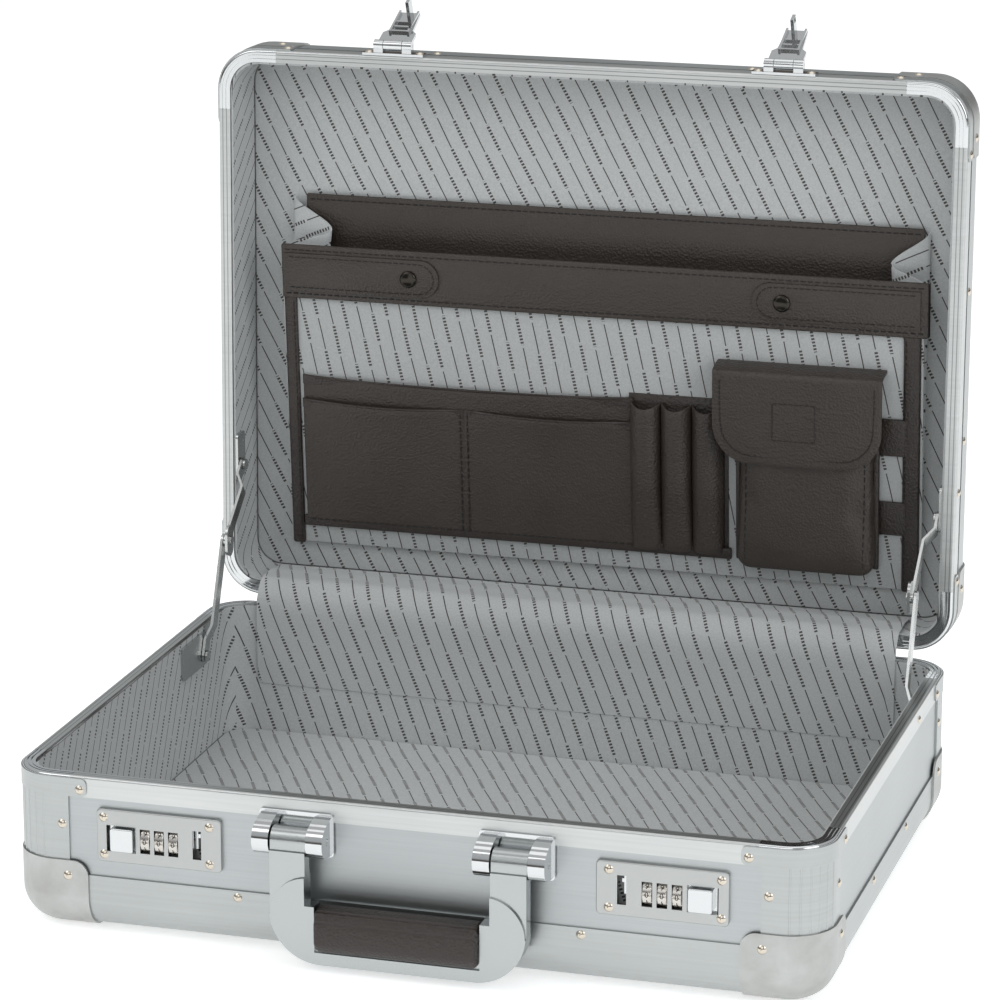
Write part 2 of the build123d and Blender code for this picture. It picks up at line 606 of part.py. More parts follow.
loop = loop - opening
loop = loop - block(-GRIP_HALF, GRIP_HALF, body_front - 2, arm_back + 4, grip_low, grip_top + 1)
core = block(-GRIP_HALF - 0.5, GRIP_HALF + 0.5, HANDLE_PIVOT_Y - 8.5, HANDLE_PIVOT_Y - 3.5,
             grip_low - 1, grip_top - 6)
loop = loop + core
for side in (-1, 1):
    roll = rod(BARREL_RADIUS, (side * HANDLE_X - ARM_HALF, HANDLE_PIVOT_Y, HANDLE_PIVOT_Z),
               (side * HANDLE_X + ARM_HALF, HANDLE_PIVOT_Y, HANDLE_PIVOT_Z), "X")
    root = block(side * HANDLE_X - ARM_HALF, side * HANDLE_X + ARM_HALF, HANDLE_PIVOT_Y - BARREL_RADIUS,
                 HANDLE_PIVOT_Y, HANDLE_PIVOT_Z - BARREL_RADIUS, HANDLE_PIVOT_Z)
    loop = loop + roll + root
for side in (-1, 1):
    ends = ((side * HANDLE_X - 20, *handle_pivot), (side * HANDLE_X + 20, *handle_pivot))
    loop = loop - rod(HANDLE_PIN + RUNNING_FIT, *ends, "X")
put("handle_frame", loop)
grip = block(-GRIP_HALF + 0.2, GRIP_HALF - 0.2, HANDLE_PIVOT_Y - GRIP_FRONT, HANDLE_PIVOT_Y - GRIP_BACK,
             grip_low + 0.1, grip_top)
grip = fillet(grip.edges().filter_by(Axis.X), 5.5)
grip = grip - block(-GRIP_HALF - 1, GRIP_HALF + 1, HANDLE_PIVOT_Y - 8.6, HANDLE_PIVOT_Y - 3.4, grip_low - 1,
                    grip_top - 5.9)
put("handle_grip", grip)

# Hasps on the lid's front rail, built closed on the right and mirrored
hasp_back = -HALF_D
hasp_pivot = (HASP_PIVOT_Y, HASP_PIVOT_Z)
hasp_drill = ((SLOT_X - 20, *hasp_pivot), (SLOT_X + 20, *hasp_pivot))
knuckle_pin = ((SLOT_X - HASP_KNUCKLE_OUT, *hasp_pivot), (SLOT_X + HASP_KNUCKLE_OUT, *hasp_pivot))
seat = block(SLOT_X - HASP_PLATE_HALF, SLOT_X + HASP_PLATE_HALF, hasp_back - 1.5, hasp_back,
             LID_RIM_Z + 0.6, LID_RIM_Z + RAIL_LEG - 1.6)
seat = fillet(seat.edges().filter_by(Axis.Y), 1.5)
for side in (-1, 1):
    near_x = SLOT_X + side * HASP_KNUCKLE_IN
    far_x = SLOT_X + side * HASP_KNUCKLE_OUT
    seat = seat + rod(HASP_BARREL, (near_x, *hasp_pivot), (far_x, *hasp_pivot), "X")
    seat = seat + block(near_x, far_x, HASP_PIVOT_Y, hasp_back - 1, HASP_PIVOT_Z - 2.6, HASP_PIVOT_Z + 3.0)
seat = seat - rod(HASP_PIN + 0.02, *hasp_drill, "X")
seat_rivets = [SLOT_X - HASP_PLATE_HALF + 3.6, SLOT_X + HASP_PLATE_HALF - 3.6]
for x in seat_rivets:
    seat = seat - rivet_hole(x, hasp_back - 1.5, LID_RIM_Z + 5.5, (0, -1, 0))

arm_out = HASP_PIVOT_Y - 1.3
arm_in = arm_out + HASP_THICK
tip_z = HASP_PIVOT_Z - HASP_LENGTH
half_top = HASP_WIDTH / 2
half_tail = HASP_TAIL / 2
half_end = HASP_END / 2
neck_z = HASP_PIVOT_Z - 13.0
shape = make_face(Polyline((-half_top, HASP_PIVOT_Z - 4.2), (half_top, HASP_PIVOT_Z - 4.2), (half_top, neck_z),
                           (half_tail, neck_z - 3.0), (half_end, tip_z), (-half_end, tip_z),
                           (-half_tail, neck_z - 3.0), (-half_top, neck_z), close=True))
arm = Pos(SLOT_X, arm_in, 0) * extrude(Plane.XZ * shape, HASP_THICK)
arm = arm + rod(HASP_BARREL, (SLOT_X - HASP_KNUCKLE_IN + 0.3, *hasp_pivot),
                (SLOT_X + HASP_KNUCKLE_IN - 0.3, *hasp_pivot), "X")
arm = arm + block(SLOT_X - HASP_KNUCKLE_IN + 0.3, SLOT_X + HASP_KNUCKLE_IN - 0.3, arm_out, arm_in,
                  HASP_PIVOT_Z - 5, HASP_PIVOT_Z)
for side in (-1, 1):
    rib = block(SLOT_X + side * 4.2, SLOT_X + side * 5.8, arm_out - 1.6, arm_out + 0.5,
                tip_z + 8, HASP_PIVOT_Z - 7)
    flange = block(SLOT_X + side * (half_end - 1.4), SLOT_X + side * (half_end - 0.1),
                   arm_in - 0.5, arm_in + 1.8, tip_z + 0.4, neck_z + 1.0)
    arm = arm + rib + flange
for reach in (neck_z - 0.5, neck_z - 5.5, neck_z - 11.0):
    arm = arm + block(SLOT_X - half_end + 1, SLOT_X + half_end - 1, arm_in - 0.5, arm_in + 1.4,
                      reach - 0.7, reach + 0.7)
lift = block(SLOT_X - 4.5, SLOT_X + 4.5, arm_out - 3.0, arm_out + 0.5, tip_z, tip_z + 1.8)
arm = arm + fillet(lift.edges().filter_by(Axis.Y), 0.6)
tongue_z = HASP_PIVOT_Z - TONGUE_REACH
tongue = block(SLOT_X - 2.1, SLOT_X - 0.1, arm_in - 0.5, BOARD_FRONT + 4.6, tongue_z - 3.2, tongue_z + 3.2)
tongue = tongue - block(SLOT_X - 1.3, SLOT_X + 1, BOARD_FRONT + 1.2, BOARD_FRONT + 4.2,
                        SLOT_Z + 2.5, SLOT_Z + 5.7)
arm = arm + tongue
arm = arm - rod(HASP_PIN + RUNNING_FIT, *hasp_drill, "X")
arm = swing(arm, -HASP_ANGLE, HASP_PIVOT_Y, HASP_PIVOT_Z)
for side in (-1, 1):
    hand = "right" if side > 0 else "left"
    put("hasp_bases", opened(mirrored(side, seat)))
    put("hasp_pins", opened(mirrored(side, rod(HASP_PIN, *knuckle_pin, "X"))))
    put("hasp_" + hand, opened(mirrored(side, arm)))
    for x in seat_rivets:
        put("lid_rivets", opened(rivet(side * x, hasp_back - 1.5, LID_RIM_Z + 5.5, (0, -1, 0))))
seat_drills = Compound([rivet_hole(side * x, hasp_back - 1.5, LID_RIM_Z + 5.5, (0, -1, 0))
                        for side in (-1, 1) for x in seat_rivets])
for name in ("lid_rim_rails", "lid_front_panel"):
    parts[name] = [piece - opened(seat_drills) for piece in parts[name]]


def link(start, end, outer_x, inner_x, joggle_at, hole_ends):
    """Flat strap in the depth and height plane, joggled from outer_x to inner_x."""
    dy = end[0] - start[0]
    dz = end[1] - start[1]
    length = (dy**2 + dz**2) ** 0.5
    half = STAY_WIDTH / 2
    a = joggle_at
    b = joggle_at + 9.0
    if outer_x == inner_x:
        strap = extrude(SlotCenterToCenter(length, STAY_WIDTH), STAY_THICK / 2, both=True)
        strap = Pos(inner_x, 0, 0) * Rot(0, 90, 0) * Rot(0, 0, 90) * strap
        strap = Pos(0, length / 2, 0) * strap
    else:
        path = [(outer_x, -half), (outer_x, a), (inner_x, b), (inner_x, length + half)]
        t = STAY_THICK / 2
        ribbon = make_face(Polyline(*[(x - t, y) for x, y in path],
                                    *[(x + t, y) for x, y in reversed(path)], close=True))
        ribbon = extrude(Plane.XY * ribbon, half, both=True)
        trim = extrude(SlotCenterToCenter(length, STAY_WIDTH), 40, both=True)
        trim = Pos(inner_x, length / 2, 0) * Rot(0, 90, 0) * Rot(0, 0, 90) * trim
        strap = ribbon & trim
    for spot, size in hole_ends:
        strap = strap - rod(size, (inner_x - 20, spot * length, 0), (inner_x + 20, spot * length, 0), "X")
    slope = Vector(0, 1, 0).get_signed_angle(Vector(0, dy, dz), Vector(1, 0, 0))
    return Pos(0, start[0], start[1]) * Rot(slope, 0, 0) * strap


# Lid stays, built for the right side and mirrored
wall_link = INNER_WALL - 1.5 - STAY_WALL_GAP - STAY_THICK / 2
lower_x = wall_link - 3.4
upper_x = lower_x - STAY_THICK - 0.4
lower = link(STAY_BASE, STAY_KNEE, wall_link, lower_x, 10.0, [(0, STAY_PIN + RUNNING_FIT)])
upper = link(STAY_LID, STAY_KNEE, wall_link, upper_x, 10.0, [(0, STAY_PIN + RUNNING_FIT)])
knee_plate = extrude(SlotCenterToCenter(8.5, 11.0), STAY_THICK / 2, both=True)
knee_plate = Pos(upper_x - STAY_THICK, STAY_KNEE[0], STAY_KNEE[1]) * Rot(0, 90, 0) * knee_plate
knee_head = rod(3.0, (upper_x - STAY_THICK * 1.5 - 1.2, *STAY_KNEE), (upper_x, *STAY_KNEE), "X")
upper = upper + knee_plate + knee_head


def stay_bracket(spot, y0, y1, z0, z1):
    """Wall plate with the riveted stud a link turns on."""
    plate = block(INNER_WALL - 1.5, INNER_WALL, y0, y1, z0, z1)
    plate = fillet(plate.edges().filter_by(Axis.X), 3.0)
    stud_end = wall_link - STAY_THICK / 2 - 0.3
    stud = rod(STAY_PIN, (stud_end - 0.5, *spot), (INNER_WALL, *spot), "X")
    head = rod(3.4, (stud_end - 1.2, *spot), (stud_end, *spot), "X")
    return plate + stud + head


base_bracket = stay_bracket(STAY_BASE, STAY_BASE[0] - 35, STAY_BASE[0] + 8,
                            STAY_BASE[1] - 6.5, STAY_BASE[1] + 14.5)
lid_bracket = stay_bracket(STAY_LID, STAY_LID[0] - 5.2, STAY_LID[0] + 8, STAY_LID[1] - 8, STAY_LID[1] + 20)
for side in (-1, 1):
    hand = "right" if side > 0 else "left"
    put("base_stay_brackets", mirrored(side, base_bracket))
    put("lid_stay_brackets", mirrored(side, lid_bracket))
    put("stay_lower_" + hand, mirrored(side, lower))
    put("stay_upper_" + hand, mirrored(side, upper))


# Organiser in the lid, built closed
def leaned(shape):
    """Lean a piece built flat at depth 0 onto the slanted front panel."""
    rise = ORG_LOW_W - ORG_TOP_W
    run = ORG_TOP - ORG_LOW
    lean = -Vector(0, 1, 0).get_signed_angle(Vector(0, run, rise), Vector(1, 0, 0))
    y = HALF_D - ORG_LOW
    z = LID_RIM_Z + ORG_LOW_W
    return Pos(0, y, z) * Rot(-lean, 0, 0) * shape


def on_panel(x0, x1, v0, v1, w0, w1):
    """Box on the slanted front panel; v up the panel, w towards its front."""
    return block(x0, x1, -v1, -v0, -w1, -w0)


org_left = ORG_CENTRE - ORG_HALF
org_right = ORG_CENTRE + ORG_HALF
put("organiser_back", opened(lid_block(org_left, org_right, ORG_LOW, ORG_BACK_HIGH, ORG_BACK_W,
                                       ORG_BACK_W + ORG_BACK_THICK)))
run_up = ((ORG_TOP - ORG_LOW) ** 2 + (ORG_LOW_W - ORG_TOP_W) ** 2) ** 0.5
front = on_panel(org_left, org_right, 0, run_up, 0, ORG_FRONT_THICK)
put("organiser_front", opened(leaned(front)))
band = on_panel(org_left, org_right, run_up - 33, run_up, ORG_FRONT_THICK, ORG_FRONT_THICK + 1.8)
put("organiser_band", opened(leaned(band)))
wedge = make_face(Polyline((HALF_D - ORG_LOW - 12, LID_RIM_Z + ORG_LOW_W - 0.4),
                           (HALF_D - ORG_LOW - 12, LID_RIM_Z + ORG_BACK_W - 0.3),
                           (HALF_D - ORG_TOP - 20, LID_RIM_Z + ORG_BACK_W - 0.3),
                           (HALF_D - ORG_TOP + 1, LID_RIM_Z + ORG_TOP_W + 0.9), close=True))
gusset = extrude(Plane.YZ * wedge, 1.2)
put("organiser_gussets", opened(Pos(org_left, 0, 0) * gusset), opened(Pos(org_right - 1.2, 0, 0) * gusset))
face_w = ORG_FRONT_THICK
cards = on_panel(-182, 24, 14, 96, face_w, face_w + 2.6)
put("organiser_card_pockets", opened(leaned(cards)))
loops = on_panel(25.5, 82.5, 14, PEN_TOP, face_w, face_w + 12)
for centre in (35.0, 54.0, 73.0):
    hole = extrude(Circle(4.4), PEN_TOP)
    hole = Pos(centre, -18, -face_w - 6.2) * Rot(90, 0, 0) * hole
    loops = loops - hole
put("organiser_pen_loops", opened(leaned(loops)))
pouch = on_panel(92, 179, 10, 92, face_w, face_w + 17)
pouch = fillet(pouch.edges().filter_by(Axis.Y), 5)
flap = on_panel(80, 183, 84, 138, face_w + 17.3, face_w + 19.5)
strap = on_panel(84, 179, 134, 138, face_w, face_w + 17.8)
tongue = on_panel(92, 179, 93, 134, face_w, face_w + 12)
put("organiser_pouch", opened(leaned(pouch)), opened(leaned(flap + strap)), opened(leaned(tongue)))
for x in (-113.0, 119.5):
    stud = rod(4.5, (x, -run_up + 16, -face_w - 1.8), (x, -run_up + 16, -face_w - 3.2), "Z")
    put("organiser_snaps", opened(leaned(stud)))

os.makedirs("parts", exist_ok=True)
for name, solids in sorted(parts.items()):
    flat = [piece for shape in solids for piece in each(shape)]
    shape = flat[0] if len(flat) == 1 else Compound(flat)
    export_step(shape, "parts/%s.step" % name)
    print(name, len(flat))
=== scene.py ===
"""Aluminium attache case standing open on its lid stays, with a leathercloth organiser in the lid."""
import math

import bpy
from mathutils import Matrix, Vector


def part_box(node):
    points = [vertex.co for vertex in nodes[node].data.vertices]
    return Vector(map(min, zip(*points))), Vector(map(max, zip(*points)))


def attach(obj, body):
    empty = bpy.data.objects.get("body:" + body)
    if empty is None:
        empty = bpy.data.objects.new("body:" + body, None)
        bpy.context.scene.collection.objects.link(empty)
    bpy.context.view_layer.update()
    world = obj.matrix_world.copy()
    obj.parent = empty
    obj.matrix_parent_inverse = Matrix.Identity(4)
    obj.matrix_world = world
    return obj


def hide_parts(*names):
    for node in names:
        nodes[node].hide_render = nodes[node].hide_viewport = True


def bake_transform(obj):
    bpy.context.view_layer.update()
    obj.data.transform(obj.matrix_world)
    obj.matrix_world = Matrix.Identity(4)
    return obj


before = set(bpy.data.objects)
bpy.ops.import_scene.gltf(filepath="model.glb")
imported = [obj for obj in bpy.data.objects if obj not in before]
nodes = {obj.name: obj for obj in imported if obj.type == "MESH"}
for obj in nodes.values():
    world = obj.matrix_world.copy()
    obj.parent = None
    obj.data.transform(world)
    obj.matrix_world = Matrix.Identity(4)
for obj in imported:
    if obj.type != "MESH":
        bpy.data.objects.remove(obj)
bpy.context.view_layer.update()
bpy.ops.object.select_all(action="DESELECT")

# --- Camera, floor and light -----------------------------------------------------------------
# A long lens looks down at the open case from the front and a little to its right side.
# A pale floor and four big soft lights, with a darker band of room for the bright metal to mirror.


def linear(text):
    """sRGB hex to a linear colour."""
    values = [int(text[i:i + 2], 16) / 255 for i in (1, 3, 5)]
    return [v / 12.92 if v <= 0.04045 else ((v + 0.055) / 1.055) ** 2.4 for v in values] + [1.0]


def add(tree, kind, links=(), **settings):
    """Add one shader node with its settings and its incoming links."""
    new = tree.nodes.new("ShaderNode" + kind)
    for name, value in settings.items():
        if name.startswith("in_"):
            key = name[3:]
            new.inputs[int(key) if key.isdigit() else key.replace("_", " ")].default_value = value
        else:
            setattr(new, name, value)
    for output, name in links:
        tree.links.new(output, new.inputs[name])
    return new


bpy.ops.object.camera_add(location=(0.6587, -2.21469, 0.86167))
camera = bpy.context.object
turn = Matrix.Rotation(math.radians(16.79), 4, "Z") @ Matrix.Rotation(math.radians(90 - 15.38), 4, "X")
turn = turn @ Matrix.Rotation(math.radians(-0.12), 4, "Z")
camera.rotation_euler = turn.to_euler()
camera.data.sensor_width = 36.0
camera.data.lens = 153.04
camera.data.shift_x = 0.0195
camera.data.shift_y = -0.0142
camera.data.clip_end = 50
bpy.context.scene.camera = camera
bpy.context.scene.view_settings.view_transform = "Standard"

bpy.ops.mesh.primitive_plane_add(size=14, location=(0, 0, -0.0005))
floor = bpy.context.object
floor.name = "floor"
paint = bpy.data.materials.new("pale_floor_paint")
paint.use_nodes = True
shader = paint.node_tree.nodes["Principled BSDF"]
shader.inputs["Base Color"].default_value = linear("#f7f8f8")
shader.inputs["Roughness"].default_value = 0.9
shader.inputs["Specular IOR Level"].default_value = 0.1
shader.inputs["Emission Color"].default_value = linear("#ffffff")
shader.inputs["Emission Strength"].default_value = 0.5
floor.data.materials.append(paint)

for name, place, aim, size, power, tint in (
    ("key_softbox", (-1.9, -1.7, 2.6), (0, 0, 0.15), 2.0, 19, "#ffffff"),
    ("fill_softbox", (2.6, -1.2, 1.5), (0, 0, 0.2), 1.8, 24, "#fbfcff"),
    ("top_softbox", (0.3, 0.4, 3.0), (0, 0, 0), 2.6, 15, "#ffffff"),
    ("front_softbox", (0.2, -3.2, 1.9), (0, 0.1, 0.2), 1.8, 13, "#ffffff"),
):
    bpy.ops.object.light_add(type="AREA", location=place)
    lamp = bpy.context.object
    lamp.name = name
    lamp.data.size = size
    lamp.data.energy = power
    lamp.data.color = linear(tint)[:3]
    lamp.rotation_euler = (Vector(aim) - Vector(place)).to_track_quat("-Z", "Y").to_euler()

room = bpy.data.worlds.new("studio_room")
bpy.context.scene.world = room
room.use_nodes = True
tree = room.node_tree
sight = add(tree, "TexCoord")
height = add(tree, "SeparateXYZ", [(sight.outputs["Generated"], "Vector")])
ramp = add(tree, "ValToRGB", [(height.outputs["Z"], "Fac")])
ramp.color_ramp.elements[0].position = 0.0
ramp.color_ramp.elements[0].color = linear("#d9d9d9")
ramp.color_ramp.elements[1].position = 1.0
ramp.color_ramp.elements[1].color = linear("#ffffff")
for spot, shade in ((0.03, "#8a8480"), (0.10, "#5f5650"), (0.17, "#8f8d8c"), (0.30, "#e4e8ea")):
    stop = ramp.color_ramp.elements.new(spot)
    stop.color = linear(shade)
tree.nodes["Background"].inputs["Strength"].default_value = 0.62
tree.links.new(ramp.outputs["Color"], tree.nodes["Background"].inputs["Color"])

# --- Shell panels ----------------------------------------------------------------------------
# Anodised aluminium sheet on board, brushed before anodising. The eye gets a soft pale grey with
# very fine level streaks and a slow change of tone across each panel.


def finish(name, colour, metallic, roughness):
    """A named material and its shader, ready for its pattern."""
    made = bpy.data.materials.new(name)
    made.use_nodes = True
    made_shader = made.node_tree.nodes["Principled BSDF"]
    made_shader.inputs["Base Color"].default_value = linear(colour)
    made_shader.inputs["Metallic"].default_value = metallic
    made_shader.inputs["Roughness"].default_value = roughness
    return made, made.node_tree, made_shader


def brushed(name, dark, light, rough_low, rough_high, stretch, bump):
    """Brushed and anodised metal; stretch is the streak scale along X, Y and Z."""
    made, tree, shader = finish(name, light, 1.0, rough_low)
    place = add(tree, "TexCoord")
    size = add(tree, "Mapping", [(place.outputs["Object"], "Vector")], in_Scale=stretch)
    streak = add(tree, "TexNoise", [(size.outputs["Vector"], "Vector")], in_Scale=1.0, in_Detail=3.0)
    cloud = add(tree, "TexNoise", [(place.outputs["Object"], "Vector")], in_Scale=9.0, in_Detail=2.0)
    both = add(tree, "Math", [(streak.outputs["Fac"], 0), (cloud.outputs["Fac"], 1)], operation="ADD")
    half = add(tree, "Math", [(both.outputs[0], 0)], operation="MULTIPLY", in_1=0.5)
    tone = add(tree, "ValToRGB", [(half.outputs[0], "Fac")])
    tone.color_ramp.elements[0].position = 0.3
    tone.color_ramp.elements[0].color = linear(dark)
    tone.color_ramp.elements[1].position = 0.7
    tone.color_ramp.elements[1].color = linear(light)
    tree.links.new(tone.outputs["Color"], shader.inputs["Base Color"])
    gloss = add(tree, "MapRange", [(streak.outputs["Fac"], "Value")],
                in_To_Min=rough_low, in_To_Max=rough_high)
    tree.links.new(gloss.outputs[0], shader.inputs["Roughness"])
    relief = add(tree, "Bump", [(streak.outputs["Fac"], "Height")], in_Strength=bump, in_Distance=0.0002)
    tree.links.new(relief.outputs["Normal"], shader.inputs["Normal"])
    return made


def dress(material, *names):
    """Give CAD nodes a material."""
    for name in names:
        for spot in nodes[name].material_slots:
            spot.material = material


SHEET_TONES = ("#abafb0", "#b8bcbd")
SHEET_ROUGHNESS = (0.36, 0.46)
sheet_metal = brushed("anodised_aluminium_sheet", *SHEET_TONES, *SHEET_ROUGHNESS, (9, 9, 900), 0.12)
dress(sheet_metal, "base_front_panel", "base_rear_panel", "base_side_panels", "base_bottom_panel",
      "lid_front_panel", "lid_rear_panel", "lid_side_panels")
broad_metal = brushed("anodised_aluminium_broad_sheet", *SHEET_TONES, *SHEET_ROUGHNESS,
                      (9, 900, 900), 0.12)
dress(broad_metal, "lid_top_panel")

# --- Edge, corner and rim profiles -----------------------------------------------------------
# Extruded aluminium, satin anodised. The die leaves long level lines, and the rim rails carry
# two shallow grooves along their length, drawn 0.5 mm wide as darker lines of painted shade.
profile_metal = brushed("anodised_aluminium_extrusion", "#a9acac", "#b8bcbb", 0.30, 0.42,
                        (6, 6, 500), 0.15)
dress(profile_metal, "base_edge_profiles", "base_corner_profiles", "base_rim_covers", "base_hinge_leaf",
      "lid_edge_profiles", "lid_rim_covers", "lid_hinge_leaf")


def grooved(name, lid_turn, lid_move):
    """Rail metal with two grooves of painted shade at fixed insets from the outside, in the closed case's
    frame.
    """
    made = brushed(name, "#b8bbba", "#cbcdcc", 0.28, 0.38, (6, 6, 500), 0.1)
    tree = made.node_tree
    shader = tree.nodes["Principled BSDF"]
    place = add(tree, "TexCoord")
    shut = add(tree, "Mapping", [(place.outputs["Object"], "Vector")],
               in_Rotation=lid_turn, in_Location=lid_move)
    parts = add(tree, "SeparateXYZ", [(shut.outputs["Vector"], "Vector")])
    wide = add(tree, "Math", [(parts.outputs["X"], 0)], operation="ABSOLUTE")
    deep = add(tree, "Math", [(parts.outputs["Y"], 0)], operation="ABSOLUTE")
    from_side = add(tree, "Math", [(wide.outputs[0], 1)], operation="SUBTRACT", in_0=0.230)
    from_front = add(tree, "Math", [(deep.outputs[0], 1)], operation="SUBTRACT", in_0=0.170)
    inset = add(tree, "Math", [(from_side.outputs[0], 0), (from_front.outputs[0], 1)], operation="MINIMUM")
    # The two grooves are painted shade: darker lines mixed into the colour, with no cut in the surface.
    first = add(tree, "Math", [(inset.outputs[0], 0)], operation="COMPARE", in_1=0.0026, in_2=0.00028)
    second = add(tree, "Math", [(inset.outputs[0], 0)], operation="COMPARE", in_1=0.0050, in_2=0.00028)
    groove_shade = add(tree, "Math", [(first.outputs[0], 0), (second.outputs[0], 1)], operation="MAXIMUM")
    old = shader.inputs["Base Color"].links[0].from_socket
    blend = add(tree, "Mix", [(groove_shade.outputs[0], "Factor"), (old, 6)], data_type="RGBA",
                in_7=linear("#8f9392"))
    tree.links.new(blend.outputs[2], shader.inputs["Base Color"])
    return made


hinge = Vector((0, 0.1735, 0.09165))
LID_ANGLE = 91.5
shut_turn = Matrix.Rotation(math.radians(LID_ANGLE), 3, "X")
dress(grooved("anodised_rail_base", (0, 0, 0), (0, 0, 0)), "base_rim_rails")
dress(grooved("anodised_rail_lid", (math.radians(LID_ANGLE), 0, 0), hinge - shut_turn @ hinge),
      "lid_rim_rails")

# --- Ball corner caps ------------------------------------------------------------------------
# Pressed aluminium, tumbled and left plain. It has a faint mottle, softer than the extrusions,
# and light scuffs where the case is set down.
cap_metal, tree, shader = finish("pressed_aluminium_cap", "#b6b7b5", 1.0, 0.40)
place = add(tree, "TexCoord")
mottle = add(tree, "TexNoise", [(place.outputs["Object"], "Vector")], in_Scale=60.0, in_Detail=5.0)
scuff = add(tree, "TexNoise", [(place.outputs["Object"], "Vector")], in_Scale=420.0, in_Detail=4.0)
tone = add(tree, "ValToRGB", [(mottle.outputs["Fac"], "Fac")])
tone.color_ramp.elements[0].position = 0.3
tone.color_ramp.elements[0].color = linear("#ababa9")
tone.color_ramp.elements[1].position = 0.7
tone.color_ramp.elements[1].color = linear("#bcbebc")
tree.links.new(tone.outputs["Color"], shader.inputs["Base Color"])
gloss = add(tree, "MapRange", [(scuff.outputs["Fac"], "Value")], in_To_Min=0.34, in_To_Max=0.50)
tree.links.new(gloss.outputs[0], shader.inputs["Roughness"])
relief = add(tree, "Bump", [(mottle.outputs["Fac"], "Height")], in_Strength=0.08, in_Distance=0.0006)
tree.links.new(relief.outputs["Normal"], shader.inputs["Normal"])
dress(cap_metal, "base_ball_corners", "lid_ball_corners")

# --- Bright corners, brackets and hasps ------------------------------------------------------
# Zinc castings under polished chrome. Only a trace of haze breaks the mirror.


def bright(name, colour, rough_low, rough_high):
    """Chrome plate with a little haze."""
    made, tree, shader = finish(name, colour, 1.0, rough_low)
    place = add(tree, "TexCoord")
    haze = add(tree, "TexNoise", [(place.outputs["Object"], "Vector")], in_Scale=140.0, in_Detail=3.0)
    gloss = add(tree, "MapRange", [(haze.outputs["Fac"], "Value")],
                in_To_Min=rough_low, in_To_Max=rough_high)
    tree.links.new(gloss.outputs[0], shader.inputs["Roughness"])
    relief = add(tree, "Bump", [(haze.outputs["Fac"], "Height")], in_Strength=0.02, in_Distance=0.0004)
    tree.links.new(relief.outputs["Normal"], shader.inputs["Normal"])
    return made


chrome = bright("polished_chrome_plate", "#d0d2d3", 0.05, 0.12)
dress(chrome, "base_rim_corners", "lid_rim_corners", "handle_brackets", "hasp_bases", "hasp_left",
      "hasp_right", "button_left", "button_right")
satin_chrome = bright("satin_chrome_plate", "#afb3b3", 0.20, 0.30)
dress(satin_chrome, "handle_frame")
plate_chrome = bright("brushed_chrome_lock_plate", "#b1b3b2", 0.26, 0.36)
dress(plate_chrome, "lock_plates")

# --- Rivets, pins and stays ------------------------------------------------------------------
# Nickel-plated steel rivets, warm and glossy. Hidden pins, axles, springs and stays are bright zinc.
nickel = bright("polished_nickel_rivet", "#cfc6b8", 0.12, 0.22)
dress(nickel, "base_rivets", "lid_rivets")
zinc = bright("bright_zinc_plate", "#bfc1c0", 0.18, 0.32)
dress(zinc, "hinge_pin", "handle_pins", "hasp_pins", "dial_axles", "button_springs", "lock_cases",
      "base_stay_brackets", "lid_stay_brackets", "stay_lower_left", "stay_lower_right", "stay_upper_left",
      "stay_upper_right")

# --- Lining ----------------------------------------------------------------------------------
# Woven polyester glued over board. A dark pin stripe every 9 mm changes every 20 mm from a plain
# line to a run of short bars. The weave is too fine to see and is drawn 1 mm coarse.
STRIPE_PITCH = 0.009
STRIPE_REPEAT = 0.041


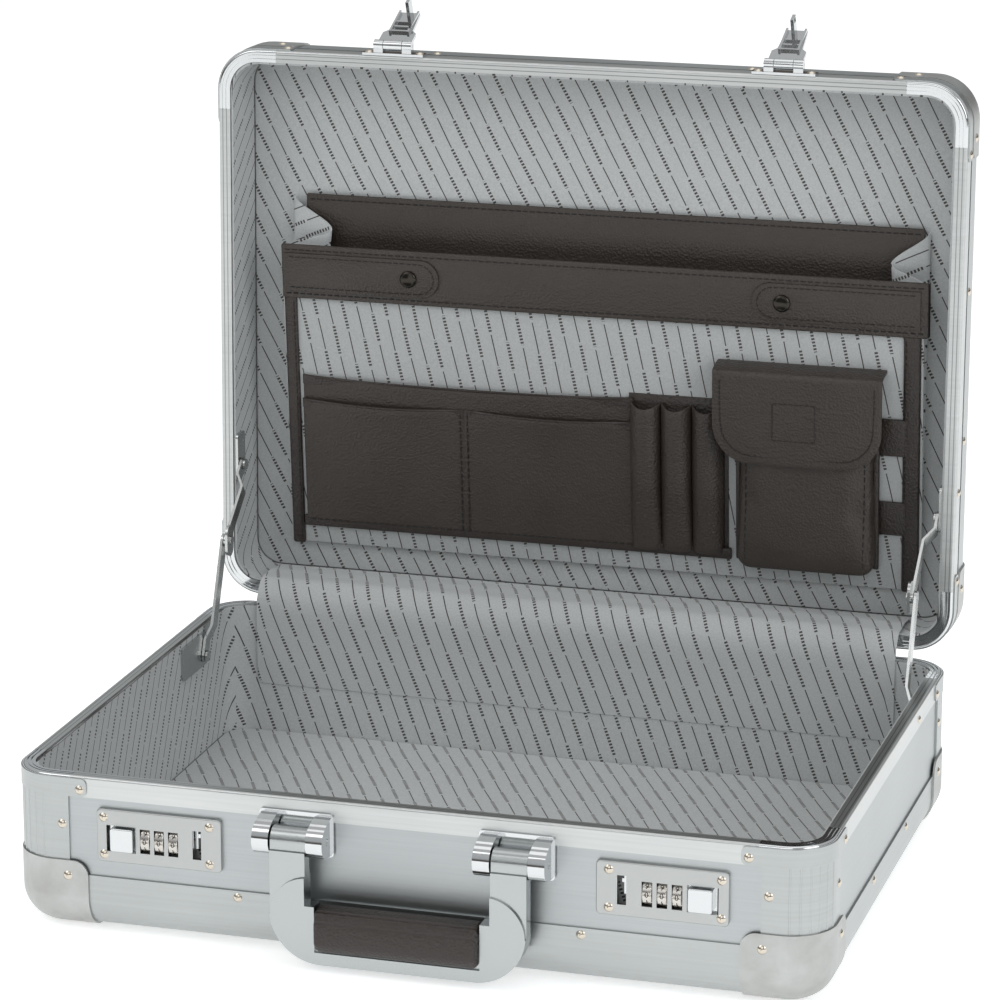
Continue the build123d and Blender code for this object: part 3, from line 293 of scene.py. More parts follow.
def lining_cloth(name, along, across, shade="#bdc0c0", flat=None):
    """Striped lining whose stripes run along one unit vector, spaced across another. A loose sheet has its
    stripes drawn on it laid flat, by the UV map of its grid."""
    made, tree, shader = finish(name, shade, 0.0, 0.85)
    place = add(tree, "TexCoord")
    spot = place.outputs["Object"]
    if flat:
        cut = add(tree, "Mapping", [(place.outputs["UV"], "Vector")], in_Scale=(flat[0], flat[1], 1))
        spot = cut.outputs["Vector"]
    u = add(tree, "VectorMath", [(spot, 0)], operation="DOT_PRODUCT", in_1=across)
    v = add(tree, "VectorMath", [(spot, 0)], operation="DOT_PRODUCT", in_1=along)
    wander = add(tree, "TexNoise", [(spot, "Vector")], in_Scale=14.0, in_Detail=1.0)
    drift = add(tree, "Math", [(wander.outputs["Fac"], 0)], operation="MULTIPLY", in_1=0.003)
    u_soft = add(tree, "Math", [(u.outputs["Value"], 0), (drift.outputs[0], 1)], operation="ADD")
    count = add(tree, "Math", [(u_soft.outputs[0], 0)], operation="DIVIDE", in_1=STRIPE_PITCH)
    index = add(tree, "Math", [(count.outputs[0], 0)], operation="FLOOR")
    part = add(tree, "Math", [(count.outputs[0], 0)], operation="FRACT")
    stagger = add(tree, "Math", [(index.outputs[0], 0)], operation="MULTIPLY", in_1=0.0149)
    run = add(tree, "Math", [(v.outputs["Value"], 0), (stagger.outputs[0], 1)], operation="ADD")
    turns = add(tree, "Math", [(run.outputs[0], 0)], operation="DIVIDE", in_1=STRIPE_REPEAT)
    phase = add(tree, "Math", [(turns.outputs[0], 0)], operation="FRACT")
    thin = add(tree, "Math", [(part.outputs[0], 0)], operation="COMPARE", in_1=0.5, in_2=0.040)
    thick = add(tree, "Math", [(part.outputs[0], 0)], operation="COMPARE", in_1=0.5, in_2=0.11)
    plain = add(tree, "Math", [(phase.outputs[0], 0)], operation="COMPARE", in_1=0.26, in_2=0.245)
    barred = add(tree, "Math", [(phase.outputs[0], 0)], operation="COMPARE", in_1=0.75, in_2=0.22)
    bars = add(tree, "Math", [(run.outputs[0], 0)], operation="DIVIDE", in_1=0.0021)
    bar_part = add(tree, "Math", [(bars.outputs[0], 0)], operation="FRACT")
    bar = add(tree, "Math", [(bar_part.outputs[0], 0)], operation="COMPARE", in_1=0.5, in_2=0.29)
    line = add(tree, "Math", [(thin.outputs[0], 0), (plain.outputs[0], 1)], operation="MULTIPLY")
    row = add(tree, "Math", [(thick.outputs[0], 0), (barred.outputs[0], 1)], operation="MULTIPLY")
    row = add(tree, "Math", [(row.outputs[0], 0), (bar.outputs[0], 1)], operation="MULTIPLY")
    mark = add(tree, "Math", [(line.outputs[0], 0), (row.outputs[0], 1)], operation="MAXIMUM")
    weave = add(tree, "TexNoise", [(spot, "Vector")], in_Scale=1000.0, in_Detail=2.0)
    cloth = add(tree, "ValToRGB", [(weave.outputs["Fac"], "Fac")])
    cloth.color_ramp.elements[0].position = 0.25
    cloth.color_ramp.elements[0].color = [c * 0.82 for c in linear(shade)[:3]] + [1]
    cloth.color_ramp.elements[1].position = 0.75
    cloth.color_ramp.elements[1].color = linear(shade)
    dyed = add(tree, "Mix", [(mark.outputs[0], "Factor"), (cloth.outputs["Color"], 6)], data_type="RGBA",
               in_7=linear("#464242"))
    tree.links.new(dyed.outputs[2], shader.inputs["Base Color"])
    relief = add(tree, "Bump", [(weave.outputs["Fac"], "Height")], in_Strength=0.25, in_Distance=0.0003)
    tree.links.new(relief.outputs["Normal"], shader.inputs["Normal"])
    shader.inputs["Sheen Weight"].default_value = 0.15
    return made


def slant(flat, up, degrees):
    """Unit vectors along and across a stripe that leans in the plane of flat and up."""
    lean = math.radians(degrees)
    flat, up = Vector(flat), Vector(up)
    along = flat * math.cos(lean) + up * math.sin(lean)
    across = up * math.cos(lean) - flat * math.sin(lean)
    return tuple(along), tuple(across)


def settle(piece, turn=0.0, move=(0, 0, 0)):
    """Turn a piece about X, move it and apply both."""
    bpy.ops.object.select_all(action="DESELECT")
    piece.select_set(True)
    bpy.context.view_layer.objects.active = piece
    turned = Matrix.Rotation(math.radians(turn), 4, "X")
    piece.matrix_world = Matrix.Translation(move) @ turned @ piece.matrix_world
    bpy.ops.object.transform_apply(location=True, rotation=True, scale=True)
    return piece


def block(name, low, high):
    """A cube primitive between two corners in millimetres, transforms applied."""
    bpy.ops.object.select_all(action="DESELECT")
    centre = [(a + b) / 2000 for a, b in zip(low, high)]
    bpy.ops.mesh.primitive_cube_add(size=1, location=centre)
    made = bpy.context.object
    made.name = name
    made.data.name = name
    made.scale = [(b - a) / 1000 for a, b in zip(low, high)]
    return settle(made)


def apply(piece, kind, **settings):
    """Add one modifier with its settings and apply it."""
    bpy.ops.object.select_all(action="DESELECT")
    piece.select_set(True)
    bpy.context.view_layer.objects.active = piece
    modifier = piece.modifiers.new(kind.lower(), kind)
    for name, value in settings.items():
        setattr(modifier, name, value)
    bpy.ops.object.modifier_apply(modifier=modifier.name)
    return piece


def pick(piece, test, mode="FACE"):
    """Enter edit mode with only the faces, edges or points that pass the test selected."""
    bpy.ops.object.select_all(action="DESELECT")
    piece.select_set(True)
    bpy.context.view_layer.objects.active = piece
    bpy.ops.object.mode_set(mode="EDIT")
    bpy.ops.mesh.select_mode(type=mode)
    bpy.ops.mesh.select_all(action="DESELECT")
    bpy.ops.object.mode_set(mode="OBJECT")
    mesh = piece.data
    if mode == "FACE":
        for face in mesh.polygons:
            face.select = test(face.center, face.normal)
    elif mode == "EDGE":
        for edge in mesh.edges:
            a, b = (mesh.vertices[i].co for i in edge.vertices)
            edge.select = test(a, b)
    else:
        for point in mesh.vertices:
            point.select = test(point.co, point.normal)
    bpy.ops.object.mode_set(mode="EDIT")


def done():
    """Leave edit mode."""
    bpy.ops.object.mode_set(mode="OBJECT")


def smooth(piece, angle=35):
    """Smooth shading with sharp creases kept."""
    bpy.ops.object.select_all(action="DESELECT")
    piece.select_set(True)
    bpy.context.view_layer.objects.active = piece
    bpy.ops.object.shade_smooth_by_angle(angle=math.radians(angle))
    return piece


def coat(piece, material, body):
    """Give a new piece its material and its body."""
    piece.data.materials.clear()
    piece.data.materials.append(material)
    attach(piece, body)
    return piece


def upright(point_a, point_b):
    """True for an edge that runs up."""
    return abs(point_a.x - point_b.x) < 1e-5 and abs(point_a.y - point_b.y) < 1e-5


LINING_HALF = (221.2, 161.2)
LINING_CORNER = 16.2
PAD_INSET = 0.3
RIM_HEIGHT = 0.0915


def tray_wall(name, floor_z, top_z):
    """Outer face of the lining strip round the inside of a half, its open side up."""
    half_x, half_y = LINING_HALF
    wall = block(name, (-half_x, -half_y, floor_z), (half_x, half_y, top_z))
    pick(wall, upright, "EDGE")
    bpy.ops.mesh.bevel(offset=LINING_CORNER / 1000, segments=8)
    done()
    pick(wall, lambda c, n: abs(n.z) > 0.9)
    bpy.ops.mesh.delete(type="FACE")
    done()
    pick(wall, lambda c, n: True)
    bpy.ops.mesh.flip_normals()
    done()
    return wall


def wall_slots(wall, kinds):
    """Assign the side-wall cloth to faces that look along X."""
    wall.data.materials.clear()
    for kind in kinds:
        wall.data.materials.append(kind)
    for face in wall.data.polygons:
        face.material_index = 1 if abs(face.normal.x) > 0.7 else 0


base_cloth_x = lining_cloth("striped_lining_base_long_walls", *slant((1, 0, 0), (0, 0, 1), -70))
base_cloth_y = lining_cloth("striped_lining_base_side_walls", *slant((0, 1, 0), (0, 0, 1), 62))
base_cloth_floor = lining_cloth("striped_lining_base_floor", *slant((1, 0, 0), (0, 1, 0), -62))
lid_cloth_x = lining_cloth("striped_lining_lid_long_walls", *slant((1, 0, 0), (0, 1, 0), -50))
lid_cloth_y = lining_cloth("striped_lining_lid_side_walls", *slant((0, 1, 0), (0, 0, 1), 38))
lid_cloth_back = lining_cloth("striped_lining_lid_back", *slant((1, 0, 0), (0, 0, 1), -62))


def lining(prefix, depth):
    """Wall strip and broad pad for one half, rim plane at z 0."""
    strip = tray_wall(prefix + "_lining_walls", -depth + 8.8, -1.4)
    apply(strip, "SOLIDIFY", thickness=0.0012, offset=-1)
    half_x, half_y = (half - PAD_INSET for half in LINING_HALF)
    pad = block(prefix + "_lining_pad", (-half_x, -half_y, -depth + 6.0), (half_x, half_y, -depth + 9.4))
    pick(pad, upright, "EDGE")
    bpy.ops.mesh.bevel(offset=(LINING_CORNER - 0.4) / 1000, segments=8)
    done()
    apply(pad, "BEVEL", width=0.0012, segments=3, limit_method="ANGLE", angle_limit=1.0)
    return strip, pad


base_strip, base_pad = lining("base", 90.3)
settle(base_strip, 0, (0, 0, RIM_HEIGHT))
settle(base_pad, 0, (0, 0, RIM_HEIGHT))
coat(base_pad, base_cloth_floor, "base")
coat(base_strip, base_cloth_x, "base")
wall_slots(base_strip, (base_cloth_x, base_cloth_y))
smooth(base_strip)
smooth(base_pad)

# Lined boxes that close the two lock cases off from the inside
for side, hand in ((-1, "left"), (1, "right")):
    near, far = sorted((side * 104.5, side * 179.0))
    cover = block("lock_cover_" + hand, (near, -161.9, 38.6), (far, -153.5, 75.0))
    apply(cover, "BEVEL", width=0.0022, segments=3)
    coat(cover, base_cloth_x, "base")
    smooth(cover)
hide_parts("base_lining")


def into_lid(piece):
    """Move a piece built with its rim plane at z 0, cavity down, into the open lid."""
    mirror = Matrix.Diagonal((1, 1, -1, 1))
    piece.data.transform(mirror)
    piece.data.flip_normals()
    shift = Matrix.Translation((0, 0, 0.0918))
    opened = Matrix.Rotation(math.radians(-LID_ANGLE), 4, "X")
    swing = Matrix.Translation(hinge) @ opened @ Matrix.Translation(-hinge)
    piece.data.transform(swing @ shift)
    return piece


lid_strip, lid_pad = lining("lid", 48.5)
coat(lid_strip, lid_cloth_x, "lid")
wall_slots(lid_strip, (lid_cloth_x, lid_cloth_y))
into_lid(lid_strip)
into_lid(lid_pad)
coat(lid_pad, lid_cloth_back, "lid")
smooth(lid_strip)
smooth(lid_pad)
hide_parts("lid_lining")

# --- Hinge flap ------------------------------------------------------------------------------
# A loose strip of the lining that hides the hinge. It is glued inside the base's rear wall and on
# the lid's lower wall, and rolls gently over the gap.
FLAP_LEFT = -206
FLAP_WIDTH = 408
profile = [(161.0, 40.0), (160.4, 56.0), (160.2, 72.0), (160.0, 82.0), (160.2, 90.0), (161.8, 97.0),
           (165.6, 102.4), (171.0, 105.4), (178.0, 106.4), (187.0, 106.0), (197.0, 105.2), (206.0, 104.9)]
bpy.ops.mesh.primitive_grid_add(x_subdivisions=48, y_subdivisions=44, size=1)
flap = bpy.context.object
flap.name = "hinge_flap"
marks = [0.0]
for start, end in zip(profile, profile[1:]):
    marks.append(marks[-1] + math.dist(start, end))
for point in flap.data.vertices:
    reach = (point.co.y + 0.5) * marks[-1]
    first = max(i for i in range(len(profile) - 1) if marks[i] <= reach + 1e-6)
    share = (reach - marks[first]) / (marks[first + 1] - marks[first])
    y = profile[first][0] * (1 - share) + profile[first + 1][0] * share
    z = profile[first][1] * (1 - share) + profile[first + 1][1] * share
    x = FLAP_LEFT + (point.co.x + 0.5) * FLAP_WIDTH
    ripple = 0.7 * math.sin(x / 47) + 0.5 * math.sin(x / 21 + 1.3)
    ripple = ripple * math.sin(math.pi * (point.co.y + 0.5)) ** 2
    ripple = ripple + 1.1 * math.sin(math.pi * (reach - 62) / 17) ** 2 * (62 < reach < 96)
    point.co = Vector((x / 1000, (y - 0.4 * ripple) / 1000, (z + ripple) / 1000))
apply(flap, "SMOOTH", factor=0.5, iterations=5)
apply(flap, "SOLIDIFY", thickness=0.0006, offset=0)
flap_cloth = lining_cloth("striped_lining_hinge_flap", *slant((1, 0, 0), (0, 1, 0), -68),
                          flat=(FLAP_WIDTH / 1000, marks[-1] / 1000))
flap.data.materials.append(flap_cloth)
smooth(flap, 60)
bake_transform(flap)

# --- Organiser: leathercloth and panels ------------------------------------------------------
# Dark brown leathercloth, embossed with a fine grain and semi-matt. The grain is drawn 1.4 mm
# across, a little coarse. The slanted front is board covered in the lining cloth.


def leathercloth(name, colour, rough, grain=700.0):
    """Embossed, plasticised leathercloth."""
    made, tree, shader = finish(name, colour, 0.0, rough)
    place = add(tree, "TexCoord")
    cells = add(tree, "TexVoronoi", [(place.outputs["Object"], "Vector")], in_Scale=grain, feature="F1")
    cloud = add(tree, "TexNoise", [(place.outputs["Object"], "Vector")], in_Scale=25.0, in_Detail=3.0)
    tone = add(tree, "ValToRGB", [(cloud.outputs["Fac"], "Fac")])
    tone.color_ramp.elements[0].position = 0.3
    tone.color_ramp.elements[0].color = [c * 0.8 for c in linear(colour)[:3]] + [1]
    tone.color_ramp.elements[1].position = 0.7
    tone.color_ramp.elements[1].color = linear(colour)
    tree.links.new(tone.outputs["Color"], shader.inputs["Base Color"])
    gloss = add(tree, "MapRange", [(cloud.outputs["Fac"], "Value")],
                in_To_Min=rough - 0.06, in_To_Max=rough + 0.08)
    tree.links.new(gloss.outputs[0], shader.inputs["Roughness"])
    relief = add(tree, "Bump", [(cells.outputs["Distance"], "Height")], in_Strength=0.7, in_Distance=0.0005)
    tree.links.new(relief.outputs["Normal"], shader.inputs["Normal"])
    return made


leather = leathercloth("brown_leathercloth", "#39322d", 0.42)
binding = leathercloth("brown_leathercloth_binding", "#322b27", 0.38)
thread = leathercloth("waxed_brown_thread", "#1f1a17", 0.6, 2400.0)
front_cloth = lining_cloth("striped_lining_organiser", *slant((1, 0, 0), (0, 0, 1), -78), shade="#b3b6b6")
gusset_cloth = lining_cloth("striped_lining_gusset", *slant((1, 0, 0), (0, 0, 1), 24), shade="#c4c7c7")


def in_lid(piece):
    """Place a piece built with X across, Y into the lid and Z up the lid."""
    return settle(piece, -1.5, (0, 0.173742, 0.095145))


def on_front(piece):
    """Place a piece built on the organiser's slanted front: Y 0 is its back face, Z runs up it."""
    settle(piece, 5.356, (0, 0.035, 0.027))
    return in_lid(piece)


def rounded(name, low, high, edge=0.6, segments=2):
    """A slab with softened edges, in millimetres."""
    made = block(name, low, high)
    apply(made, "BEVEL", width=edge / 1000, segments=segments)
    return smooth(made)


def stitch_row(name, path, pitch=4.4, long=3.0, thick=0.75):
    """Stitches along a path in millimetres, each a short six-sided thread."""
    rows = []
    for start, end in zip(path, path[1:]):
        start, run = Vector(start) / 1000, (Vector(end) - Vector(start)) / 1000
        count = max(1, round(run.length * 1000 / pitch))
        bpy.ops.object.select_all(action="DESELECT")
        bpy.ops.mesh.primitive_cylinder_add(vertices=6, radius=thick / 2000, depth=long / 1000)
        made = bpy.context.object
        made.rotation_euler = run.to_track_quat("Z", "Y").to_euler()
        made.location = start + run / count / 2
        settle(made)
        apply(made, "ARRAY", count=count, use_relative_offset=False, use_constant_offset=True,
              constant_offset_displace=run / count)
        rows.append(made)
    bpy.ops.object.select_all(action="DESELECT")
    for row in rows:
        row.select_set(True)
    bpy.context.view_layer.objects.active = rows[0]
    if len(rows) > 1:
        bpy.ops.object.join()
    rows[0].name = name
    return smooth(rows[0])


def leather_part(piece, place, material=None, body="lid"):
    """Place a leathercloth piece and give it its finish."""
    place(piece)
    return coat(piece, material or leather, body)


front = rounded("organiser_front_panel", (-195.5, -1.6, 0), (204.5, 0, 192.8), 0.5)
on_front(front)
coat(front, front_cloth, "lid")
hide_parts("organiser_front")
back = rounded("organiser_back_board", (-194, 37.0, 27), (203, 38.6, 222), 0.5)
in_lid(back)
coat(back, front_cloth, "lid")
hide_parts("organiser_back")
strip = rounded("organiser_back_strip", (-186, 35.2, 200), (200, 37.4, 247.5), 0.9, 3)
leather_part(strip, in_lid)
seam = stitch_row("organiser_back_strip_seam", [(-184, 35.1, 244.2), (198, 35.1, 244.2)])
leather_part(seam, in_lid, thread)

# --- Organiser: pleated gussets --------------------------------------------------------------
# Lining cloth folded once inwards, sewn between the front and back so the pocket can open.
for hand, sign, outer, crease in (("left", -1, -194.0, -167.0), ("right", 1, 203.0, 182.0)):
    bpy.ops.object.select_all(action="DESELECT")
    bpy.ops.mesh.primitive_grid_add(x_subdivisions=24, y_subdivisions=24, size=1)
    gusset = bpy.context.object
    gusset.name = "organiser_gusset_" + hand
    for point in gusset.data.vertices:
        across = point.co.x + 0.5
        up = point.co.y + 0.5
        open_w = 35.0 - 18.0 * up
        fold = 1 - abs(2 * across - 1)
        fold_soft = fold * fold * (3 - 2 * fold)
        reach = outer + (crease - outer) * fold_soft * (0.15 + 0.85 * up)
        depth = open_w + 0.8 + (36.2 - open_w - 0.8) * across
        top = 217 + 29 * across
        height = 30 + (top - 30) * up - 4.0 * fold_soft * up
        point.co = Vector((reach / 1000, depth / 1000, height / 1000))
    apply(gusset, "SOLIDIFY", thickness=0.0008, offset=0)
    in_lid(gusset)
    coat(gusset, gusset_cloth, "lid")
    smooth(gusset, 60)
    if sign < 0:
        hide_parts("organiser_gussets")

# --- Organiser: top band, bindings, tabs and snaps -------------------------------------------
# A stitched leathercloth band holds the front's top edge, and its ends turn back round the sides.
# Two sewn tabs carry black press studs.
band = rounded("organiser_top_band", (-195.0, -4.4, 159.5), (207.5, -1.5, 193.6), 1.1, 3)
pick(band, lambda c, n: abs(n.x) > 0.9)
bpy.ops.mesh.extrude_region_move(TRANSFORM_OT_translate={"value": (0, 0.004, 0)})
done()
leather_part(band, on_front)
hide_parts("organiser_band")
for number, level in enumerate((162.6, 190.4)):
    seam = stitch_row("organiser_band_seam_%d" % (number + 1), [(-193, -4.5, level), (205, -4.5, level)])
    leather_part(seam, on_front, thread)
for hand, x0, x1, stud_x in (("left", -193.0, -94.0, -113.0), ("right", 101.0, 203.0, 119.5)):
    tab = block("organiser_tab_" + hand, (x0, -5.6, 164.5), (x1, -4.2, 188.5))
    inner = x1 if hand == "left" else x0
    pick(tab, lambda a, b: abs(a.x * 1000 - inner) < 0.1 and abs(b.x * 1000 - inner) < 0.1
         and abs(a.y - b.y) > 1e-4, "EDGE")
    bpy.ops.mesh.bevel(offset=0.0115, segments=10)
    done()
    apply(tab, "BEVEL", width=0.0005, segments=2, limit_method="ANGLE", angle_limit=0.9)
    smooth(tab)
    leather_part(tab, on_front)
    centre = inner - 13 if hand == "left" else inner + 13
    arc = []
    for step in range(9):
        angle = math.radians(-90 + 180 * step / 8)
        reach = 10.0 * math.cos(angle) * (1 if hand == "left" else -1)
        arc.append((centre + reach, -5.7, 176.5 + 9.6 * math.sin(angle)))
    far = x0 + 3 if hand == "left" else x1 - 3
    path = [(far, -5.7, 166.9)] + arc + [(far, -5.7, 186.1)]
    seam = stitch_row("organiser_tab_seam_" + hand, path, 4.0, 2.8, 0.6)
    leather_part(seam, on_front, thread)
    bpy.ops.object.select_all(action="DESELECT")
    stud_place = (stud_x / 1000, -0.0062, 0.1765)
    bpy.ops.mesh.primitive_cylinder_add(vertices=32, radius=0.0052, depth=0.0016,
                                        location=stud_place, rotation=(math.pi / 2, 0, 0))
    stud = bpy.context.object
    stud.name = "organiser_stud_" + hand
    settle(stud)
    pick(stud, lambda c, n: n.y < -0.9)
    bpy.ops.mesh.inset(thickness=0.0012)
    bpy.ops.transform.translate(value=(0, -0.0009, 0))
    bpy.ops.mesh.inset(thickness=0.0014)
    bpy.ops.transform.translate(value=(0, 0.0007, 0))
    done()
    apply(stud, "BEVEL", width=0.00025, segments=2, limit_method="ANGLE", angle_limit=0.6)
    smooth(stud)
    on_front(stud)
    stud_black = bright("black_nickel_stud_" + hand, "#3a3733", 0.15, 0.25)
    coat(stud, stud_black, "lid")
    if hand == "left":
        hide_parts("organiser_snaps")
for hand, x0, x1 in (("left", -194.5, -186.5), ("right", 192.5, 203.0)):
    edge = rounded("organiser_binding_" + hand, (x0, -3.6, -1.0), (x1, 0.4, 161), 1.6, 3)
    leather_part(edge, on_front, binding)
    inner = x1 - 1.6 if hand == "left" else x0 + 1.6
    seam = stitch_row("organiser_binding_seam_" + hand, [(inner, -3.7, 1), (inner, -3.7, 158)])
    leather_part(seam, on_front, thread)

# --- Organiser: card pockets -----------------------------------------------------------------
# Two card pockets sewn down the middle in front of a long slip pocket. Each mouth is a turned
# and stitched edge that stands a little open and sags.


def pocket(name, x0, x1, z0, z1, face, swell, sag, mouth):
    """A soft leathercloth pocket front: a grid bowed out between its seams, then thickened."""
    bpy.ops.object.select_all(action="DESELECT")
    bpy.ops.mesh.primitive_grid_add(x_subdivisions=40, y_subdivisions=24, size=1)
    made = bpy.context.object
    made.name = name
    for point in made.data.vertices:
        across = point.co.x + 0.5
        up = point.co.y + 0.5
        bow = math.sin(math.pi * across) ** 0.7 if 0 < across < 1 else 0.0
        out = face - swell * bow * (0.35 + 0.65 * up) * math.sin(math.pi * min(up, 0.5)) ** 0.5
        out = out - mouth * bow * up ** 4
        height = z0 + (z1 - z0) * up - sag * bow * up ** 3
        point.co = Vector(((x0 + (x1 - x0) * across) / 1000, out / 1000, height / 1000))
    apply(made, "SOLIDIFY", thickness=0.0013, offset=0)
    apply(made, "BEVEL", width=0.0003, segments=2, limit_method="ANGLE", angle_limit=0.9)
    return smooth(made, 60)


slip = pocket("slip_pocket", -184, 27, 14, 110, -2.4, 1.2, 3.0, 1.5)
leather_part(slip, on_front)
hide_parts("organiser_card_pockets")
for number, (x0, x1) in enumerate(((-184, -79), (-81, 27))):
    card = pocket("card_pocket_%d" % (number + 1), x0, x1, 14, 95, -4.0, 1.6, 2.5, 2.4)
    leather_part(card, on_front)
hem = pocket("slip_pocket_hem", -184, 27, 104.5, 110.5, -3.3, 1.2, 3.0, 1.4)
leather_part(hem, on_front, binding)
for number, (x0, x1) in enumerate(((-184, -80.5), (-79.5, 27))):
    hem = pocket("card_pocket_hem_%d" % (number + 1), x0, x1, 89.5, 95.6, -4.8, 1.6, 2.5, 2.3)
    leather_part(hem, on_front, binding)
for number, x in enumerate((-82.2, -77.8)):
    seam = stitch_row("card_pocket_seam_%d" % (number + 1), [(x, -5.3, 16), (x, -5.5, 93)])
    leather_part(seam, on_front, thread)
seam = stitch_row("card_pocket_foot_seam", [(-182, -4.9, 16.5), (84, -4.9, 16.5)])
leather_part(seam, on_front, thread)
foot = rounded("card_pocket_foot", (-186, -4.7, 11.5), (88, -1.5, 18.5), 1.0, 2)
leather_part(foot, on_front, binding)

# --- Organiser: pen loops --------------------------------------------------------------------
# One strip of leathercloth sewn into three upright tubes, open at the top.
bpy.ops.object.select_all(action="DESELECT")
bpy.ops.mesh.primitive_grid_add(x_subdivisions=72, y_subdivisions=20, size=1)
loops = bpy.context.object
loops.name = "pen_loops"
LOOP_LEFT, LOOP_PITCH = 25.5, 19.2
for point in loops.data.vertices:
    across = (point.co.x + 0.5) * 3
    up = point.co.y + 0.5
    wave = abs(math.sin(math.pi * across)) ** 0.55
    fill = 0.55 + 0.45 * min(1.0, up * 2.2)
    height = 15 + 93.5 * up - 2.5 * math.sin(math.pi * (across % 1.0)) * up ** 3
    x = LOOP_LEFT + LOOP_PITCH * across
    point.co = Vector((x / 1000, (-2.3 - 10.2 * wave * fill) / 1000, height / 1000))
apply(loops, "SOLIDIFY", thickness=0.0012, offset=0)
apply(loops, "BEVEL", width=0.0003, segments=2, limit_method="ANGLE", angle_limit=1.0)
smooth(loops, 60)
leather_part(loops, on_front)
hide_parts("organiser_pen_loops")
for number in range(4):
    x = LOOP_LEFT + LOOP_PITCH * number
    seam = stitch_row("pen_loop_seam_%d" % (number + 1), [(x, -3.3, 18), (x, -3.3, 105)], 4.0, 2.8, 0.6)
    leather_part(seam, on_front, thread)
back_strip = rounded("pen_loop_backing", (24, -2.4, 13), (86, -1.5, 113), 0.4)
leather_part(back_strip, on_front, binding)

# --- Organiser: pouch ------------------------------------------------------------------------
# A boxed pocket in padded leathercloth with a flap that folds over the top. The body is blown up
# a little by cloth pressure, held back where it is sewn to the panel.


def puff(piece, grain, pressure, cap, low, high):
    """Remesh a closed form, swell it under pressure, cap the swell and keep it between two corners."""
    apply(piece, "REMESH", mode="VOXEL", voxel_size=grain)
    start = [point.co.copy() for point in piece.data.vertices]
    cloth = piece.modifiers.new("cloth", "CLOTH")
    cloth.settings.use_pressure = True
    cloth.settings.uniform_pressure_force = pressure
    cloth.settings.effector_weights.gravity = 0
    cloth.settings.tension_stiffness = 30
    cloth.settings.compression_stiffness = 30
    cloth.point_cache.frame_start = 1
    cloth.point_cache.frame_end = 20
    for moment in range(1, 21):
        bpy.context.scene.frame_set(moment)
    bpy.ops.object.select_all(action="DESELECT")
    piece.select_set(True)
    bpy.context.view_layer.objects.active = piece
    bpy.ops.object.modifier_apply(modifier=cloth.name)
    bpy.context.scene.frame_set(1)
    for point, was in zip(piece.data.vertices, start):
        move = point.co - was
        if move.length > cap:
            point.co = was + move * (cap / move.length)
        point.co = Vector([min(max(v, a), b) for v, a, b in zip(point.co, low, high)])
    apply(piece, "SUBSURF", levels=1, render_levels=1)
    return smooth(piece, 60)


def on_top(piece, points, lift):
    """Points of X and Z in millimetres, each laid on the front of a piece that faces -Y."""
    laid = []
    for x, z in points:
        hit, spot, _, _ = piece.ray_cast(Vector((x / 1000, -0.1, z / 1000)), Vector((0, 1, 0)))
        laid.append((x, (spot.y * 1000 if hit else laid[-1][1]) - lift, z))
    return laid


pouch = block("pouch_body", (93.5, -17.6, 11.0), (178.0, -2.2, 134.0))
pick(pouch, lambda a, b: abs(a.y - b.y) > 1e-4 and a.z < 0.02, "EDGE")
bpy.ops.mesh.bevel(offset=0.007, segments=4)
done()
pick(pouch, lambda c, n: n.z > 0.9)
bpy.ops.transform.resize(value=(1, 0.7, 1), center_override=(0.1355, -0.0022, 0.134))
done()
puff(pouch, 0.004, 3.0, 0.0022, (0.09, -0.03, 0), (0.181, -0.0017, 0.14))
heights = (17, 30, 45, 60, 75, 88)
seams_laid = {x: on_top(pouch, [(x, z) for z in heights], 0.15) for x in (99.5, 172.0)}
on_front(pouch)
coat(pouch, leather, "lid")
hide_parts("organiser_pouch")
for hand, x in (("left", 99.5), ("right", 172.0)):
    seam = stitch_row("pouch_seam_" + hand, seams_laid[x])
    leather_part(seam, on_front, thread)
    piping = rounded("pouch_piping_" + hand, (x - 7.6 if hand == "left" else x + 4.0, -9.0, 14),
                     (x - 4.6 if hand == "left" else x + 7.6, -5.0, 92), 1.2, 3)
    leather_part(piping, on_front, binding)

bpy.ops.object.select_all(action="DESELECT")
bpy.ops.mesh.primitive_grid_add(x_subdivisions=44, y_subdivisions=44, size=1)
flap_cover = bpy.context.object
flap_cover.name = "pouch_flap"
FLAP_CENTRE, FLAP_HALF, FLAP_LENGTH = 131.5, 51.5, 76.0
FLAP_ROUND, FLAP_BEND = 24.0, 20.0
for point in flap_cover.data.vertices:
    across = point.co.x + 0.5
    down = point.co.y + 0.5
    length = FLAP_LENGTH * down
    x = FLAP_CENTRE + (across - 0.5) * 2 * FLAP_HALF
    if length > FLAP_LENGTH - FLAP_ROUND:
        dip = (length - (FLAP_LENGTH - FLAP_ROUND)) / FLAP_ROUND
        rounding = FLAP_ROUND * math.sqrt(max(0.0, 1 - dip * dip * 0.96))
        x = FLAP_CENTRE + (across - 0.5) * 2 * (FLAP_HALF - FLAP_ROUND + rounding)
    if length < FLAP_BEND:
        bend = math.radians(90 * length / FLAP_BEND)
        y = -3.0 - 16.0 * math.sin(bend)
        z = 138.5 + 3.0 * math.cos(bend) - 3.0
    else:
        hang = length - FLAP_BEND
        y = -19.0 - 1.2 * math.sin(math.pi * across) - hang / (FLAP_LENGTH - FLAP_BEND)
        z = 135.5 - hang
    point.co = Vector((x / 1000, y / 1000, z / 1000))
apply(flap_cover, "SOLIDIFY", thickness=0.0018, offset=1)
apply(flap_cover, "BEVEL", width=0.0004, segments=2, limit_method="ANGLE", angle_limit=1.0)
smooth(flap_cover, 60)

